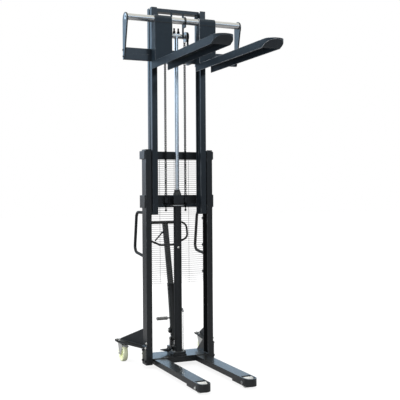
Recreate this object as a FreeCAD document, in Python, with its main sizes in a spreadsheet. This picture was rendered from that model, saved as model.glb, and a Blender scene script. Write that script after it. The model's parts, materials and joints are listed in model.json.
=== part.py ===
import FreeCAD, Part
import math
import os
import re
import Sketcher
from FreeCAD import Vector

# Hand pallet stacker with a two-stage mast, in millimetres, shown fully raised.
# The forks point along -Y, +Z is up and the floor is z = 0.  Formulas measure y from the
# front face of the outer mast; MAST_Y then puts the origin in the middle of the footprint.

DIMENSIONS = {
    # Outer mast channels
    "mast_half": 306,
    "channel_width": 50,
    "channel_depth": 100,
    "channel_wall": 8,
    "column_bottom": 33,
    "mast_overlap": 553,
    # Crossbeams behind the outer channels, and the side plates that carry them
    "belt_gap": 4,
    "crossbeam_plate": 10,
    "belt_plate": 12,
    "belt_front": 4,
    "upper_belt_drop": 12,
    "upper_belt_height": 69,
    "mid_belt_rise": 59,
    "mid_belt_height": 107,
    "foot_plate": 8,
    "foot_plate_top": 190,
    # Inner mast columns, their travel and the bars that join them
    "column_gap": 9,
    "inner_width": 49,
    "inner_depth": 108,
    "inner_flange": 9,
    "inner_web": 8,
    "inner_lip": 4,
    "slot_gap": 1,
    "inner_length": 1750,
    "stroke": 1213,
    "lowered_gap": 2,
    "top_bar_height": 30,
    "tie_rise": 60,
    "tie_height": 28,
    "tie_plate": 8,
    "stop_drop": 32,
    "stop_height": 33,
    "stop_width": 40,
    # Mast and carriage rollers
    "roller_gap": 0.5,
    "roller_side_gap": 1.5,
    "roller_axle": 9,
    "turning_fit": 0.05,
    "bottom_roller_rise": 45,
    "bottom_roller_gap": 2,
    "bottom_roller_width": 34,
    "top_roller_drop": 53,
    # Straddle legs and base
    "leg_margin": 12,
    "leg_bottom": 34,
    "leg_top": 79,
    "leg_wall": 6,
    "leg_step_back": 173,
    "leg_nose_reach": 80,
    "hoop_wall": 12,
    "hoop_bottom": 20,
    "base_length": 250,
    "base_plate": 6,
    "gusset_offset": 2,
    "gusset_plate": 8,
    "gusset_rise": 123,
    # Load wheels
    "load_wheel_reach": 885,
    "load_wheel_radius": 40,
    "load_wheel_width": 70,
    "load_wheel_round": 4,
    "wheel_side_gap": 5,
    "wheel_room": 7,
    "load_axle": 10,
    "axle_head": 5,
    # Casters and their brackets
    "caster_x": 385,
    "caster_y": 440,
    "caster_trail": 35,
    "caster_radius": 75,
    "caster_width": 45,
    "caster_round": 9,
    "crown_gap": 3,
    "crown_plate": 4,
    "crown_front": 26,
    "fork_leg_gap": 2,
    "fork_leg_foot": 16,
    "fork_ear_reach": 50,
    "fork_ear_depth": 14,
    "caster_axle": 6,
    "race_radius": 30,
    "race_height": 12,
    "race_gap": 0.3,
    "seat_plate": 8,
    "seat_half": 48,
    "seat_side": 45,
    "bracket_margin": 4,
    "bracket_front": 12,
    "bracket_plate": 8,
    "bracket_rise": 145,
    "brake_reach": 42,
    "brake_drop": 7,
    "brake_pin": 3,
    "brake_hub": 6,
    "brake_side_gap": 1,
    "brake_length": 50,
    "brake_plate": 4,
    "brake_slope": 10,
    # Lift cylinder
    "tube_radius": 34,
    "tube_wall": 5,
    "tube_rise": 81,
    "cylinder_foot": 12,
    "cylinder_foot_half": 60,
    "gland_height": 75,
    "gland_step": 2,
    "gland_lip": 4,
    "rod_radius": 17,
    "piston_height": 40,
    "piston_gap": 10,
    "saddle_side": 12,
    "saddle_front": 2,
    "saddle_gap": 3,
    # Crosshead, pulleys and lift chains
    "crosshead_gap": 3,
    "crosshead_depth": 40,
    "crosshead_height": 36,
    "crosshead_bolt_x": 19,
    "crosshead_bolt": 6,
    "crosshead_bolt_height": 47,
    "crosshead_nut": 10.5,
    "crosshead_nut_height": 11,
    "pulley_drop": 220,
    "pulley_x": 91,
    "pulley_pitch": 36,
    "pulley_lip": 2,
    "pulley_side": 3.7,
    "pulley_axle": 10,
    "chain_width": 16,
    "chain_depth": 12,
    "chain_gap": 0.3,
    "chain_clearance": 4,
    "strap_x": 53,
    "strap_width": 16,
    "strap_plate": 8,
    "anchor_rise": 41,
    "anchor_height": 50,
    "anchor_side": 4,
    "anchor_front": 10,
    "anchor_bolt": 6,
    "anchor_bolt_length": 62,
    "anchor_nut_wall": 2.5,
    "anchor_nut_height": 12,
    # Carriage, measured down from the top of the inner mast
    "bar_reach": 125,
    "bar_radius": 27,
    "bar_half": 504,
    "bar_drop": 130,
    "bar_bolt": 11,
    "end_plate": 12,
    "end_plate_drop": 90,
    "end_plate_front": 34,
    "end_plate_foot": 29,
    "carriage_back": 45,
    "beam_drop": 469,
    "beam_ledge_drop": 416,
    "beam_top_drop": 366,
    "beam_gap": 0.5,
    "beam_ledge": 10.5,
    "roller_plate": 10,
    "roller_plate_gap": 4,
    "roller_plate_depth": 130,
    "roller_plate_drop": 95,
    "upper_roller_drop": 145,
    "lower_roller_drop": 425,
    "lug_height": 27,
    "lug_side": 3,
    "collar_wall": 10.5,
    "collar_width": 12,
    # Forks
    "fork_centre": 198.5,
    "fork_width": 150,
    "fork_drop": 536,
    "fork_height": 60,
    "fork_plate": 8,
    "fork_wall": 7,
    "fork_heel": 68,
    "fork_cheek_height": 180,
    "shank_plate": 10,
    "sleeve_wall": 8,
    "sliding_fit": 0.1,
    "fork_reach": 1360,
    "nose_length": 101,
    "nose_radius": 70,
    "nose_edge": 10,
    # Operator guard mesh
    "mesh_side_lap": 14,
    "mesh_low": 703,
    "mesh_lap": 18,
    "mesh_wire": 2.5,
    "mesh_pitch": 18,
    "mesh_columns": 4,
    "clip_first_row": 5,
    "clip_row_step": 13,
    "clip_height": 24,
    "clip_side": 4,
    # Grab handles on the columns
    "grab_inset": 18,
    "grab_radius": 12.5,
    "grab_high": 1318,
    "grab_low": 947,
    "grab_top_reach": 196,
    "grab_foot_reach": 254,
    "grab_foot_rise": 24,
    "grab_bend": 55,
    "grab_stub": 30,
    # Hand pump
    "pump_gap": 10,
    "pump_half": 40,
    "pump_length": 100,
    "pump_height": 60,
    "pivot_setback": 28,
    "pivot_rise": 130,
    "pivot_pin": 8,
    "cheek_plate": 8,
    "cheek_gap": 2.5,
    "cheek_foot": 20,
    "cheek_head": 15,
    "plunger_radius": 13,
    "plunger_head": 18,
    "plunger_head_height": 8,
    "plunger_tail": 16,
    "plunger_floor": 4,
    "cam_clearance": 4.8,
    "cam_start": 25,
    "cam_radius": 12,
    "cam_gap": 0.3,
    "spring_wire": 3.6,
    "spring_gap": 2.7,
    "spring_coils": 6,
    # Pump lever, handle and hand loop
    "lever_half": 27.5,
    "lever_depth": 30,
    "lever_wall": 5,
    "lever_boss": 18,
    "lever_solid": 38,
    "joint_reach": 80,
    "joint_rise": 474,
    "handle_reach": 125,
    "handle_rise": 517,
    "handle_half": 24,
    "handle_depth": 24,
    "handle_wall": 3,
    "loop_half": 205,
    "loop_radius": 9,
    "loop_bend": 55,
    "loop_shoulder": 140,
    "loop_foot": 205,
    "loop_stub": 36,
    "grip_wall": 4,
    "grip_half": 140,
    "grip_gap": 0.5,
    "peg_rise": 175,
    "peg_radius": 6,
    "peg_length": 97,
    "peg_grip_gap": 25.5,
    "peg_grip_wall": 9,
    # Hand release lever and foot release pedal
    "release_drop": 76,
    "release_gap": 4,
    "release_hub": 8,
    "release_pin": 4,
    "release_width": 14,
    "release_plate": 4,
    "release_reach": 62,
    "release_fall": 70,
    "pedal_standoff": 5,
    "pedal_rise": 36,
    "pedal_hub": 7,
    "pedal_pin": 3,
    "pedal_half": 20,
    "pedal_length": 80,
    "pedal_tip_half": 6,
    "pedal_plate": 5,
    "ear_plate": 8,
    "ear_gap": 1,
    "ear_wall": 2,
    # Return pipe of the cylinder
    "pipe_radius": 4,
    "pipe_standoff": 6,
    "pipe_high": 480,
    "pipe_rise": 27,
    "pipe_bend": 5.5,
    "pipe_port": 18,
}

# Formulas that several pieces share
REAR_REACH = "(caster_y + seat_half + bracket_margin)"
MAST_Y = f"(fork_reach - {REAR_REACH}) / 2"
BASE_TOP = "(leg_top + base_plate)"
INNER_BOTTOM = f"({BASE_TOP} + lowered_gap + stroke)"
INNER_TOP = f"({INNER_BOTTOM} + inner_length)"
OUTER_TOP = f"({INNER_BOTTOM} + mast_overlap)"
OUTER_EDGE = "(mast_half - channel_width)"
MESH_HALF = f"({OUTER_EDGE} + mesh_side_lap)"
INNER_OUTSIDE = f"({OUTER_EDGE} - column_gap)"
INNER_INSIDE = f"({INNER_OUTSIDE} - inner_width)"
WEB_INSIDE = f"({INNER_OUTSIDE} - inner_width / 2 - inner_web / 2)"
WEB_OUTSIDE = f"({INNER_OUTSIDE} - inner_width / 2 + inner_web / 2)"
LIP_INSIDE = f"({INNER_OUTSIDE} - inner_lip)"
BOTTOM_ROLLER_OUTSIDE = f"({OUTER_EDGE} + bottom_roller_gap + bottom_roller_width)"
MAST_MIDDLE = "(channel_depth / 2)"
INNER_FRONT = f"({MAST_MIDDLE} - inner_depth / 2)"
INNER_REAR = f"({MAST_MIDDLE} + inner_depth / 2)"
TIE_REAR = f"({INNER_REAR} + tie_plate)"
BELT_FRONT = f"({TIE_REAR} + belt_gap)"
BELT_REAR = f"({BELT_FRONT} + crossbeam_plate)"
UPPER_BELT = (f"{OUTER_TOP} - upper_belt_drop - upper_belt_height", f"{OUTER_TOP} - upper_belt_drop")
MID_BELT = (f"{INNER_BOTTOM} + mid_belt_rise", f"{INNER_BOTTOM} + mid_belt_rise + mid_belt_height")
LEG_WIDTH = "(load_wheel_width + 2 * wheel_side_gap + 2 * hoop_wall)"
LEG_CENTRE = f"({OUTER_EDGE} - leg_margin - {LEG_WIDTH} / 2)"
LEG_STEP = "(load_wheel_reach - leg_step_back)"
LEG_NOSE = f"(load_wheel_reach + leg_nose_reach - {LEG_WIDTH} / 2)"
GUSSET_OUTSIDE = f"({OUTER_EDGE} + gusset_offset + gusset_plate)"
CROWN_LOW = "(2 * caster_radius + crown_gap)"
CROWN_HIGH = f"({CROWN_LOW} + crown_plate)"
BRACKET_LOW = f"({CROWN_HIGH} + race_height + seat_plate)"
CASTER_WHEEL_Y = "(caster_y - caster_trail)"
BRACKET_INSIDE = "(caster_x - seat_side - bracket_margin)"
BRACKET_OUTSIDE = "(caster_x + seat_side + bracket_margin)"
CYLINDER_Y = f"({INNER_REAR} - chain_clearance - pulley_pitch - chain_depth / 2)"
TUBE_TOP = f"({INNER_BOTTOM} + mid_belt_rise + tube_rise)"
ANCHOR_LOW = f"({INNER_BOTTOM} + mid_belt_rise + anchor_rise)"
ANCHOR_HIGH = f"({ANCHOR_LOW} + anchor_height)"
PULLEY_Z = f"({INNER_TOP} - pulley_drop)"
PULLEY_HALF = "(chain_width / 2 + chain_gap + pulley_side)"
CHAIN_INSIDE = "(pulley_pitch - chain_depth / 2 + chain_gap)"
CHAIN_OUTSIDE = "(pulley_pitch + chain_depth / 2)"
STRAP_FRONT = f"({CYLINDER_Y} - crosshead_depth / 2 - strap_plate)"
CROSSHEAD_LOW = f"({PULLEY_Z} - crosshead_height / 2)"
CROSSHEAD_HIGH = f"({PULLEY_Z} + crosshead_height / 2)"
BAR_Z = f"({INNER_TOP} - bar_drop)"
BEAM_LOW = f"({INNER_TOP} - beam_drop)"
FORK_LOW = f"({INNER_TOP} - fork_drop)"
SHANK_FRONT = "(bar_reach + bar_radius + sleeve_wall)"
BLADE_END = "(fork_reach - nose_length)"
PUMP_FRONT = f"({TIE_REAR} + pump_gap)"
PUMP_TOP = f"({BASE_TOP} + pump_height)"
PIVOT_Y = f"({PUMP_FRONT} + pivot_setback)"
PIVOT_Z = f"({BASE_TOP} + pivot_rise)"
CAM_RUN = "(lever_boss + plunger_head + cam_clearance)"
CAM_Y = f"({PIVOT_Y} + {CAM_RUN})"
CAM_Z = f"({PIVOT_Z} + {CAM_RUN} * tan(cam_start * 1deg))"
JOINT_Y = f"({PIVOT_Y} + joint_reach)"
JOINT_Z = f"({PIVOT_Z} + joint_rise)"
HANDLE_TOP_Y = f"({JOINT_Y} + handle_reach)"
HANDLE_TOP_Z = f"({JOINT_Z} + handle_rise)"
PEG_AXIS = (f"{PIVOT_Y} + joint_reach * peg_rise / joint_rise", f"{PIVOT_Z} + peg_rise")
RELEASE_X = "(handle_half + release_gap + release_hub)"
RELEASE_Y = f"({HANDLE_TOP_Y} - handle_reach * release_drop / handle_rise)"
RELEASE_Z = f"({HANDLE_TOP_Z} - release_drop)"
PEDAL_X = "(pump_half + pedal_standoff + pedal_hub)"
PEDAL_Z = f"({BASE_TOP} + pedal_rise)"
SIGNS = {"left": -1, "right": 1}

doc = FreeCAD.newDocument("hand_pallet_stacker")
sheet = doc.addObject("Spreadsheet::Sheet", "Sizes")
for row, (alias, number) in enumerate(DIMENSIONS.items(), 1):
    sheet.set(f"A{row}", alias)
    sheet.set(f"B{row}", str(number))
    sheet.setAlias(f"B{row}", alias)
doc.recompute()

nodes = []


def cells(formula):
    """Writes a formula of plain names with the sheet in front of each name."""
    return re.sub(r"\b[a-z_]+\b(?!\()", lambda name: "Sizes." + name.group(0), formula)


def bind(item, name, formula):
    item.setExpression(name, cells(formula))


def value(formula):
    """The number that a formula gives for the sizes in the sheet."""
    return float(sheet.evalExpression(cells(formula)))


def point(x, y, z):
    return Vector(value(x), value(y), value(z))


def place(item, x, y, z):
    bind(item, "Placement.Base.x", x)
    bind(item, "Placement.Base.y", f"{y} + {MAST_Y}")
    bind(item, "Placement.Base.z", z)


def box(name, x, y, z):
    """A block between the low and high formulas of each axis."""
    block = doc.addObject("Part::Box", name)
    for side, (low, high) in zip(("Length", "Width", "Height"), (x, y, z)):
        bind(block, side, f"({high}) - ({low})")
    place(block, x[0], y[0], z[0])
    return block


def rod(name, axis, span, centre, radius):
    """A round bar along an axis; centre gives the other two coordinates in x, y, z order."""
    turns = {"x": (Vector(0, 1, 0), 90), "y": (Vector(1, 0, 0), -90), "z": (Vector(0, 0, 1), 0)}
    bar = doc.addObject("Part::Cylinder", name)
    bar.Placement = FreeCAD.Placement(Vector(), FreeCAD.Rotation(*turns[axis]))
    bind(bar, "Radius", radius)
    bind(bar, "Height", f"({span[1]}) - ({span[0]})")
    spot = list(centre)
    spot.insert("xyz".index(axis), span[0])
    place(bar, *spot)
    return bar


def plate(name, plane, points, span):
    """A padded outline: XY outlines rise along z, XZ ones run along y and YZ ones along x."""
    body = doc.addObject("PartDesign::Body", name)
    sketch = body.newObject("Sketcher::SketchObject", name + "_outline")
    planes = {feature.Role: feature for feature in body.Origin.OriginFeatures}
    sketch.AttachmentSupport = [(planes[plane + "_Plane"], "")]
    sketch.MapMode = "FlatFace"
    count = len(points)
    corners = [Vector(value(u), value(v), 0) for u, v in points]
    for corner in range(count):
        sketch.addGeometry(Part.LineSegment(corners[corner], corners[(corner + 1) % count]), False)
    for corner in range(count):
        sketch.addConstraint(Sketcher.Constraint("Coincident", corner, 2, (corner + 1) % count, 1))
    for corner, (u, v) in enumerate(points):
        across = Sketcher.Constraint("DistanceX", -1, 1, corner, 1, corners[corner].x)
        bind(sketch, f"Constraints[{sketch.addConstraint(across)}]", u)
        along = Sketcher.Constraint("DistanceY", -1, 1, corner, 1, corners[corner].y)
        bind(sketch, f"Constraints[{sketch.addConstraint(along)}]", v)
    pad = body.newObject("PartDesign::Pad", name + "_pad")
    pad.Profile = sketch
    bind(pad, "Length", f"({span[1]}) - ({span[0]})")
    starts = {"XY": ("0", "0", span[0]), "XZ": ("0", span[1], "0"), "YZ": (span[0], "0", "0")}
    place(body, *starts[plane])
    return body


def fuse(name, shapes):
    joined = doc.addObject("Part::MultiFuse", name)
    joined.Shapes = shapes
    joined.Refine = True
    return joined


def common(name, shapes):
    shared = doc.addObject("Part::MultiCommon", name)
    shared.Shapes = shapes
    return shared


def cut(name, base, *tools):
    for count, tool in enumerate(tools, 1):
        left = doc.addObject("Part::Cut", f"{name}_cut{count}")
        left.Base = base
        left.Tool = tool
        left.Refine = True
        base = left
    return base


def rounded(name, base, edges, radius):
    """The base with some of its edges rounded."""
    doc.recompute()
    soft = doc.addObject("Part::Fillet", name)
    soft.Base = base
    soft.Edges = [(edge, radius, radius) for edge in edges]
    return soft


def group(name, shapes):
    bunch = doc.addObject("Part::Compound", name)
    bunch.Links = shapes
    return bunch


def shape_piece(name, shape):
    """A piece whose shape is worked out here, in the same frame as the formulas."""
    piece = doc.addObject("Part::Feature", name)
    piece.Shape = shape
    place(piece, "0", "0", "0")
    return piece


def node(label, item):
    item.Label = label
    nodes.append(item)


def span_x(side, inner, outer):
    """The x span of a piece between two distances from the middle, on one side."""
    if side == "right":
        return (inner, outer)
    return (f"-({outer})", f"-({inner})")


def about(middle, half):
    return (f"{middle} - ({half})", f"{middle} + ({half})")


def sided(side, points):
    """Plan points of the right side, mirrored for the left one."""
    return [(f"{SIGNS[side]} * ({x})", y) for x, y in points]


def bent_tube(points, bend, radius):
    """A round bar along straight runs joined by arcs of one radius."""
    edges = []
    start = points[0]
    for before, corner, after in zip(points, points[1:], points[2:]):
        back = (before - corner).normalize()
        ahead = (after - corner).normalize()
        half = back.getAngle(ahead) / 2
        run = bend / math.tan(half)
        middle = (back + ahead).normalize()
        arc_middle = corner + middle * (bend / math.sin(half) - bend)
        edges.append(Part.LineSegment(start, corner + back * run).toShape())
        edges.append(Part.Arc(corner + back * run, arc_middle, corner + ahead * run).toShape())
        start = corner + ahead * run
    edges.append(Part.LineSegment(start, points[-1]).toShape())
    ring = Part.Wire(Part.makeCircle(radius, points[0], points[1] - points[0]))
    return Part.Wire(edges).makePipeShell([ring], True, False)


def outer_mast():
    for side in SIGNS:
        channel = plate(side + "_channel", "XY", sided(side, [
            (OUTER_EDGE, "0"),
            ("mast_half", "0"),
            ("mast_half", "channel_depth"),
            (OUTER_EDGE, "channel_depth"),
            (OUTER_EDGE, "channel_depth - channel_wall"),
            ("mast_half - channel_wall", "channel_depth - channel_wall"),
            ("mast_half - channel_wall", "channel_wall"),
            (OUTER_EDGE, "channel_wall"),
        ]), ("column_bottom", OUTER_TOP))
        stub = rod(side + "_top_roller_stub", "x",
                   span_x(side, f"{WEB_OUTSIDE} + roller_side_gap", "mast_half - channel_wall"),
                   (MAST_MIDDLE, f"{OUTER_TOP} - top_roller_drop"), "roller_axle")
        node(side + "_outer_channel", fuse(side + "_channel_and_stub", [channel, stub]))
    beam_x = ("-mast_half", "mast_half")
    beam_y = (BELT_FRONT, BELT_REAR)
    node("upper_crossbeam", box("upper_beam", beam_x, beam_y, UPPER_BELT))
    node("mid_crossbeam", box("mid_beam", beam_x, beam_y, MID_BELT))
    plates = []
    for side in SIGNS:
        across = span_x(side, "mast_half", "mast_half + belt_plate")
        for name, height in (("upper", UPPER_BELT), ("mid", MID_BELT)):
            plates.append(box(f"{side}_{name}_side_plate", across, ("belt_front", BELT_REAR), height))
        plates.append(box(side + "_foot_plate", span_x(side, "mast_half", "mast_half + foot_plate"),
                          ("0", "channel_depth"), ("column_bottom", "foot_plate_top")))
    node("column_side_plates", group("side_plates", plates))


def base():
    wheel_space = "load_wheel_radius + wheel_room"
    gussets = []
    for side, sign in SIGNS.items():
        middle = f"{sign} * {LEG_CENTRE}"
        outside = about(middle, f"{LEG_WIDTH} / 2")
        in_hoop = about(middle, f"{LEG_WIDTH} / 2 - hoop_wall")
        beam = box(side + "_leg_beam", outside, (f"-{LEG_STEP}", "base_length"), ("leg_bottom", "leg_top"))
        hollow = box(side + "_leg_hollow", about(middle, f"{LEG_WIDTH} / 2 - leg_wall"),
                     (f"-{LEG_STEP}", "base_length"), ("leg_bottom", "leg_top - leg_wall"))
        hoop = box(side + "_leg_hoop", outside, (f"-{LEG_NOSE}", f"-{LEG_STEP}"), ("hoop_bottom", "leg_top"))
        nose = rod(side + "_leg_nose", "z", ("hoop_bottom", "leg_top"), (middle, f"-{LEG_NOSE}"),
                   f"{LEG_WIDTH} / 2")
        pocket = fuse(side + "_wheel_pocket", [
            box(side + "_pocket_run", in_hoop, (f"-{LEG_NOSE}", f"-load_wheel_reach + {wheel_space}"),
                ("0", "leg_top")),
            rod(side + "_pocket_end", "z", ("0", "leg_top"), (middle, f"-{LEG_NOSE}"),
                f"{LEG_WIDTH} / 2 - hoop_wall"),
        ])
        under = box(side + "_hoop_hollow", in_hoop,
                    (f"-load_wheel_reach + {wheel_space} + hoop_wall", f"-{LEG_STEP}"),
                    ("hoop_bottom", "leg_top - leg_wall"))
        bore = rod(side + "_axle_bore", "x", outside, ("-load_wheel_reach", "load_wheel_radius"),
                   "load_axle + turning_fit")
        leg = fuse(side + "_leg_blank", [cut(side + "_leg_channel", beam, hollow), hoop, nose])
        node(side + "_leg", cut(side + "_leg", leg, pocket, under, bore))
        gussets.append(plate(side + "_foot_gusset", "YZ", [
            ("channel_depth", BASE_TOP),
            ("base_length", BASE_TOP),
            ("channel_depth", f"{BASE_TOP} + gusset_rise"),
        ], span_x(side, f"{GUSSET_OUTSIDE} - gusset_plate", GUSSET_OUTSIDE)))
    node("foot_gussets", group("foot_gussets", gussets))
    inside = f"{LEG_CENTRE} - {LEG_WIDTH} / 2"
    floor = ("leg_top", BASE_TOP)
    node("base_frame", fuse("base_frame", [
        box("cross_tube", (f"-({inside})", inside), ("0", "channel_depth"), ("leg_bottom", "leg_top")),
        box("front_floor_plate", (f"-{OUTER_EDGE}", OUTER_EDGE), ("0", "channel_depth"), floor),
        box("rear_floor_plate", (f"-{GUSSET_OUTSIDE}", GUSSET_OUTSIDE), ("channel_depth", "base_length"),
            floor),
    ]))


def load_wheels():
    pins = []
    for side, sign in SIGNS.items():
        middle = f"{sign} * {LEG_CENTRE}"
        axis = ("-load_wheel_reach", "load_wheel_radius")
        across = about(middle, "load_wheel_width / 2")
        tread = rod(side + "_load_tread", "x", across, axis, "load_wheel_radius")
        tyre = rounded(side + "_load_tyre", tread, (1, 3), value("load_wheel_round"))
        bore = rod(side + "_load_bore", "x", across, axis, "load_axle + turning_fit")
        node(side + "_load_wheel", cut(side + "_load_wheel", tyre, bore))
        low, high = about(middle, f"{LEG_WIDTH} / 2")
        pins.append(fuse(side + "_load_axle_bolt", [
            rod(side + "_load_axle", "x", (low, high), axis, "load_axle"),
            rod(side + "_axle_head_low", "x", (f"{low} - axle_head", low), axis, "load_axle + axle_head"),
            rod(side + "_axle_head_high", "x", (high, f"{high} + axle_head"), axis, "load_axle + axle_head"),
        ]))
    reach = "lever_half + cheek_gap + cheek_plate + axle_head"
    pins.append(rod("pump_pivot", "x", (f"-({reach})", reach), (PIVOT_Y, PIVOT_Z), "pivot_pin"))
    node("axle_pins", group("axle_pins", pins))


def caster_bracket(side, sign):
    table = plate(side + "_bracket_table", "XY", sided(side, [
        (f"{GUSSET_OUTSIDE} + bracket_margin", "channel_depth"),
        ("mast_half + foot_plate", "channel_depth"),
        ("mast_half + foot_plate", "bracket_front"),
        (BRACKET_OUTSIDE, CASTER_WHEEL_Y),
        (BRACKET_OUTSIDE, REAR_REACH),
        (BRACKET_INSIDE, REAR_REACH),
    ]), (BRACKET_LOW, f"{BRACKET_LOW} + bracket_plate"))
    run = f"{REAR_REACH} - channel_depth - 2 * bracket_plate"
    rib = plate(side + "_bracket_rib", "YZ", [
        ("0", "0"),
        (run, "0"),
        (run, "bracket_plate"),
        ("0", "bracket_rise"),
    ], ("0", "bracket_plate"))
    lean = "atan((caster_x - mast_half) / (caster_y - channel_depth))"
    bind(rib, "Placement.Rotation.Angle", f"{-sign} * {lean}")
    place(rib, f"{sign} * (mast_half - bracket_plate) - bracket_plate / 2",
          f"channel_depth + bracket_plate * sin({lean})", f"{BRACKET_LOW} + bracket_plate")
    seat = box(side + "_caster_seat", about(f"{sign} * caster_x", "seat_side"),
               about("caster_y", "seat_half"), (f"{BRACKET_LOW} - seat_plate", BRACKET_LOW))
    return fuse(side + "_bracket", [table, rib, seat])


def caster_fork(side, middle, brake_axis):
    inside = "caster_width / 2 + fork_leg_gap"
    outside = f"{inside} + crown_plate"
    rear = "caster_y + race_radius"
    ear = f"{CASTER_WHEEL_Y} - fork_ear_reach"
    outline = [
        (f"{CASTER_WHEEL_Y} - fork_leg_foot", "caster_radius - fork_leg_foot"),
        (f"{CASTER_WHEEL_Y} + fork_leg_foot", "caster_radius - fork_leg_foot"),
        (rear, CROWN_LOW),
        (ear, CROWN_LOW),
        (ear, f"{CROWN_LOW} - fork_ear_depth"),
    ]
    low, high = about(middle, outside)
    yoke = fuse(side + "_yoke", [
        rod(side + "_race", "z", (CROWN_HIGH, f"{CROWN_HIGH} + race_height - race_gap"), (middle, "caster_y"),
            "race_radius"),
        box(side + "_crown", (low, high), (f"{CASTER_WHEEL_Y} - crown_front", rear), (CROWN_LOW, CROWN_HIGH)),
        rod(side + "_caster_axle", "x", about(middle, f"{outside} + axle_head"),
            (CASTER_WHEEL_Y, "caster_radius"), "caster_axle"),
        plate(side + "_fork_leg_low", "YZ", outline, (low, f"{low} + crown_plate")),
        plate(side + "_fork_leg_high", "YZ", outline, (f"{high} - crown_plate", high)),
    ])
    pin_hole = rod(side + "_brake_hole", "x", (low, high), brake_axis, "brake_pin + turning_fit")
    pin = rod(side + "_brake_pin", "x", (low, high), brake_axis, "brake_pin")
    return cut(side + "_caster_fork", yoke, pin_hole), pin


def casters():
    brackets = []
    for side, sign in SIGNS.items():
        brackets.append(caster_bracket(side, sign))
        middle = f"{sign} * caster_x"
        brake_y = f"{CASTER_WHEEL_Y} - brake_reach"
        brake_z = f"{CROWN_LOW} - brake_drop"
        fork, pin = caster_fork(side, middle, (brake_y, brake_z))
        node(side + "_caster_fork", fork)
        across = about(middle, "caster_width / 2")
        axis = (CASTER_WHEEL_Y, "caster_radius")
        tread = rod(side + "_caster_tread", "x", across, axis, "caster_radius")
        tyre = rounded(side + "_caster_tyre", tread, (1, 3), value("caster_round"))
        bore = rod(side + "_caster_bore", "x", across, axis, "caster_axle + turning_fit")
        node(side + "_caster_wheel", cut(side + "_caster_wheel", tyre, bore))
        pad = about(middle, "caster_width / 2 - brake_side_gap")
        tip_y = f"{brake_y} - brake_length"
        treadle = plate(side + "_brake_treadle", "YZ", [
            (brake_y, f"{brake_z} + brake_hub - brake_plate"),
            (brake_y, f"{brake_z} + brake_hub"),
            (tip_y, f"{brake_z} + brake_hub - brake_slope"),
            (tip_y, f"{brake_z} + brake_hub - brake_slope - brake_plate"),
        ], pad)
        hub = rod(side + "_brake_hub", "x", pad, (brake_y, brake_z), "brake_hub")
        node(side + "_brake_pedal", fuse(side + "_brake_pedal", [pin, hub, treadle]))
    node("caster_brackets", group("caster_brackets", brackets))


def cylinder():
    axis = ("0", CYLINDER_Y)
    foot_top = f"{BASE_TOP} + cylinder_foot"
    foot = box("cylinder_foot", about("0", "cylinder_foot_half"),
               about(CYLINDER_Y, "tube_radius + cylinder_foot"), (BASE_TOP, foot_top))
    barrel = rod("cylinder_barrel", "z", (foot_top, TUBE_TOP), axis, "tube_radius")
    bore = rod("cylinder_bore", "z", (f"{foot_top} + cylinder_foot", TUBE_TOP), axis,
               "tube_radius - tube_wall")
    node("cylinder_tube", cut("cylinder_tube", fuse("cylinder_blank", [foot, barrel]), bore))
    neck = doc.addObject("Part::Cone", "gland_cone")
    bind(neck, "Radius1", "tube_radius - gland_step")
    bind(neck, "Radius2", "rod_radius + gland_lip")
    bind(neck, "Height", "gland_height")
    place(neck, "0", CYLINDER_Y, TUBE_TOP)
    gland_bore = rod("gland_bore", "z", (TUBE_TOP, f"{TUBE_TOP} + gland_height"), axis,
                     "rod_radius + turning_fit")
    node("cylinder_gland", cut("cylinder_gland", neck, gland_bore))
    saddle_z = (f"{INNER_BOTTOM} + tie_rise + tie_height + saddle_gap", MID_BELT[1])
    saddle = box("cylinder_saddle", about("0", "tube_radius + saddle_side"),
                 (f"{CYLINDER_Y} - tube_radius - saddle_front", BELT_FRONT), saddle_z)
    saddle_bore = rod("saddle_bore", "z", saddle_z, axis, "tube_radius + turning_fit")
    node("cylinder_bracket", cut("cylinder_bracket", saddle, saddle_bore))
    piston_top = f"{TUBE_TOP} - piston_gap"
    node("piston_rod", rod("piston_rod", "z", (piston_top, CROSSHEAD_LOW), axis, "rod_radius"))
    node("piston", rod("piston", "z", (f"{piston_top} - piston_height", piston_top), axis,
                       "tube_radius - tube_wall - turning_fit"))
    pipe_x = "pump_half + pipe_standoff"
    pipe_z = f"{BASE_TOP} + pipe_rise"
    port_y = f"{PUMP_FRONT} + pipe_port"
    node("oil_pipe", shape_piece("oil_pipe", bent_tube([
        point("tube_radius", CYLINDER_Y, "pipe_high"),
        point(pipe_x, CYLINDER_Y, "pipe_high"),
        point(pipe_x, CYLINDER_Y, pipe_z),
        point(pipe_x, port_y, pipe_z),
        point("pump_half", port_y, pipe_z),
    ], value("pipe_bend"), value("pipe_radius"))))


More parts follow.
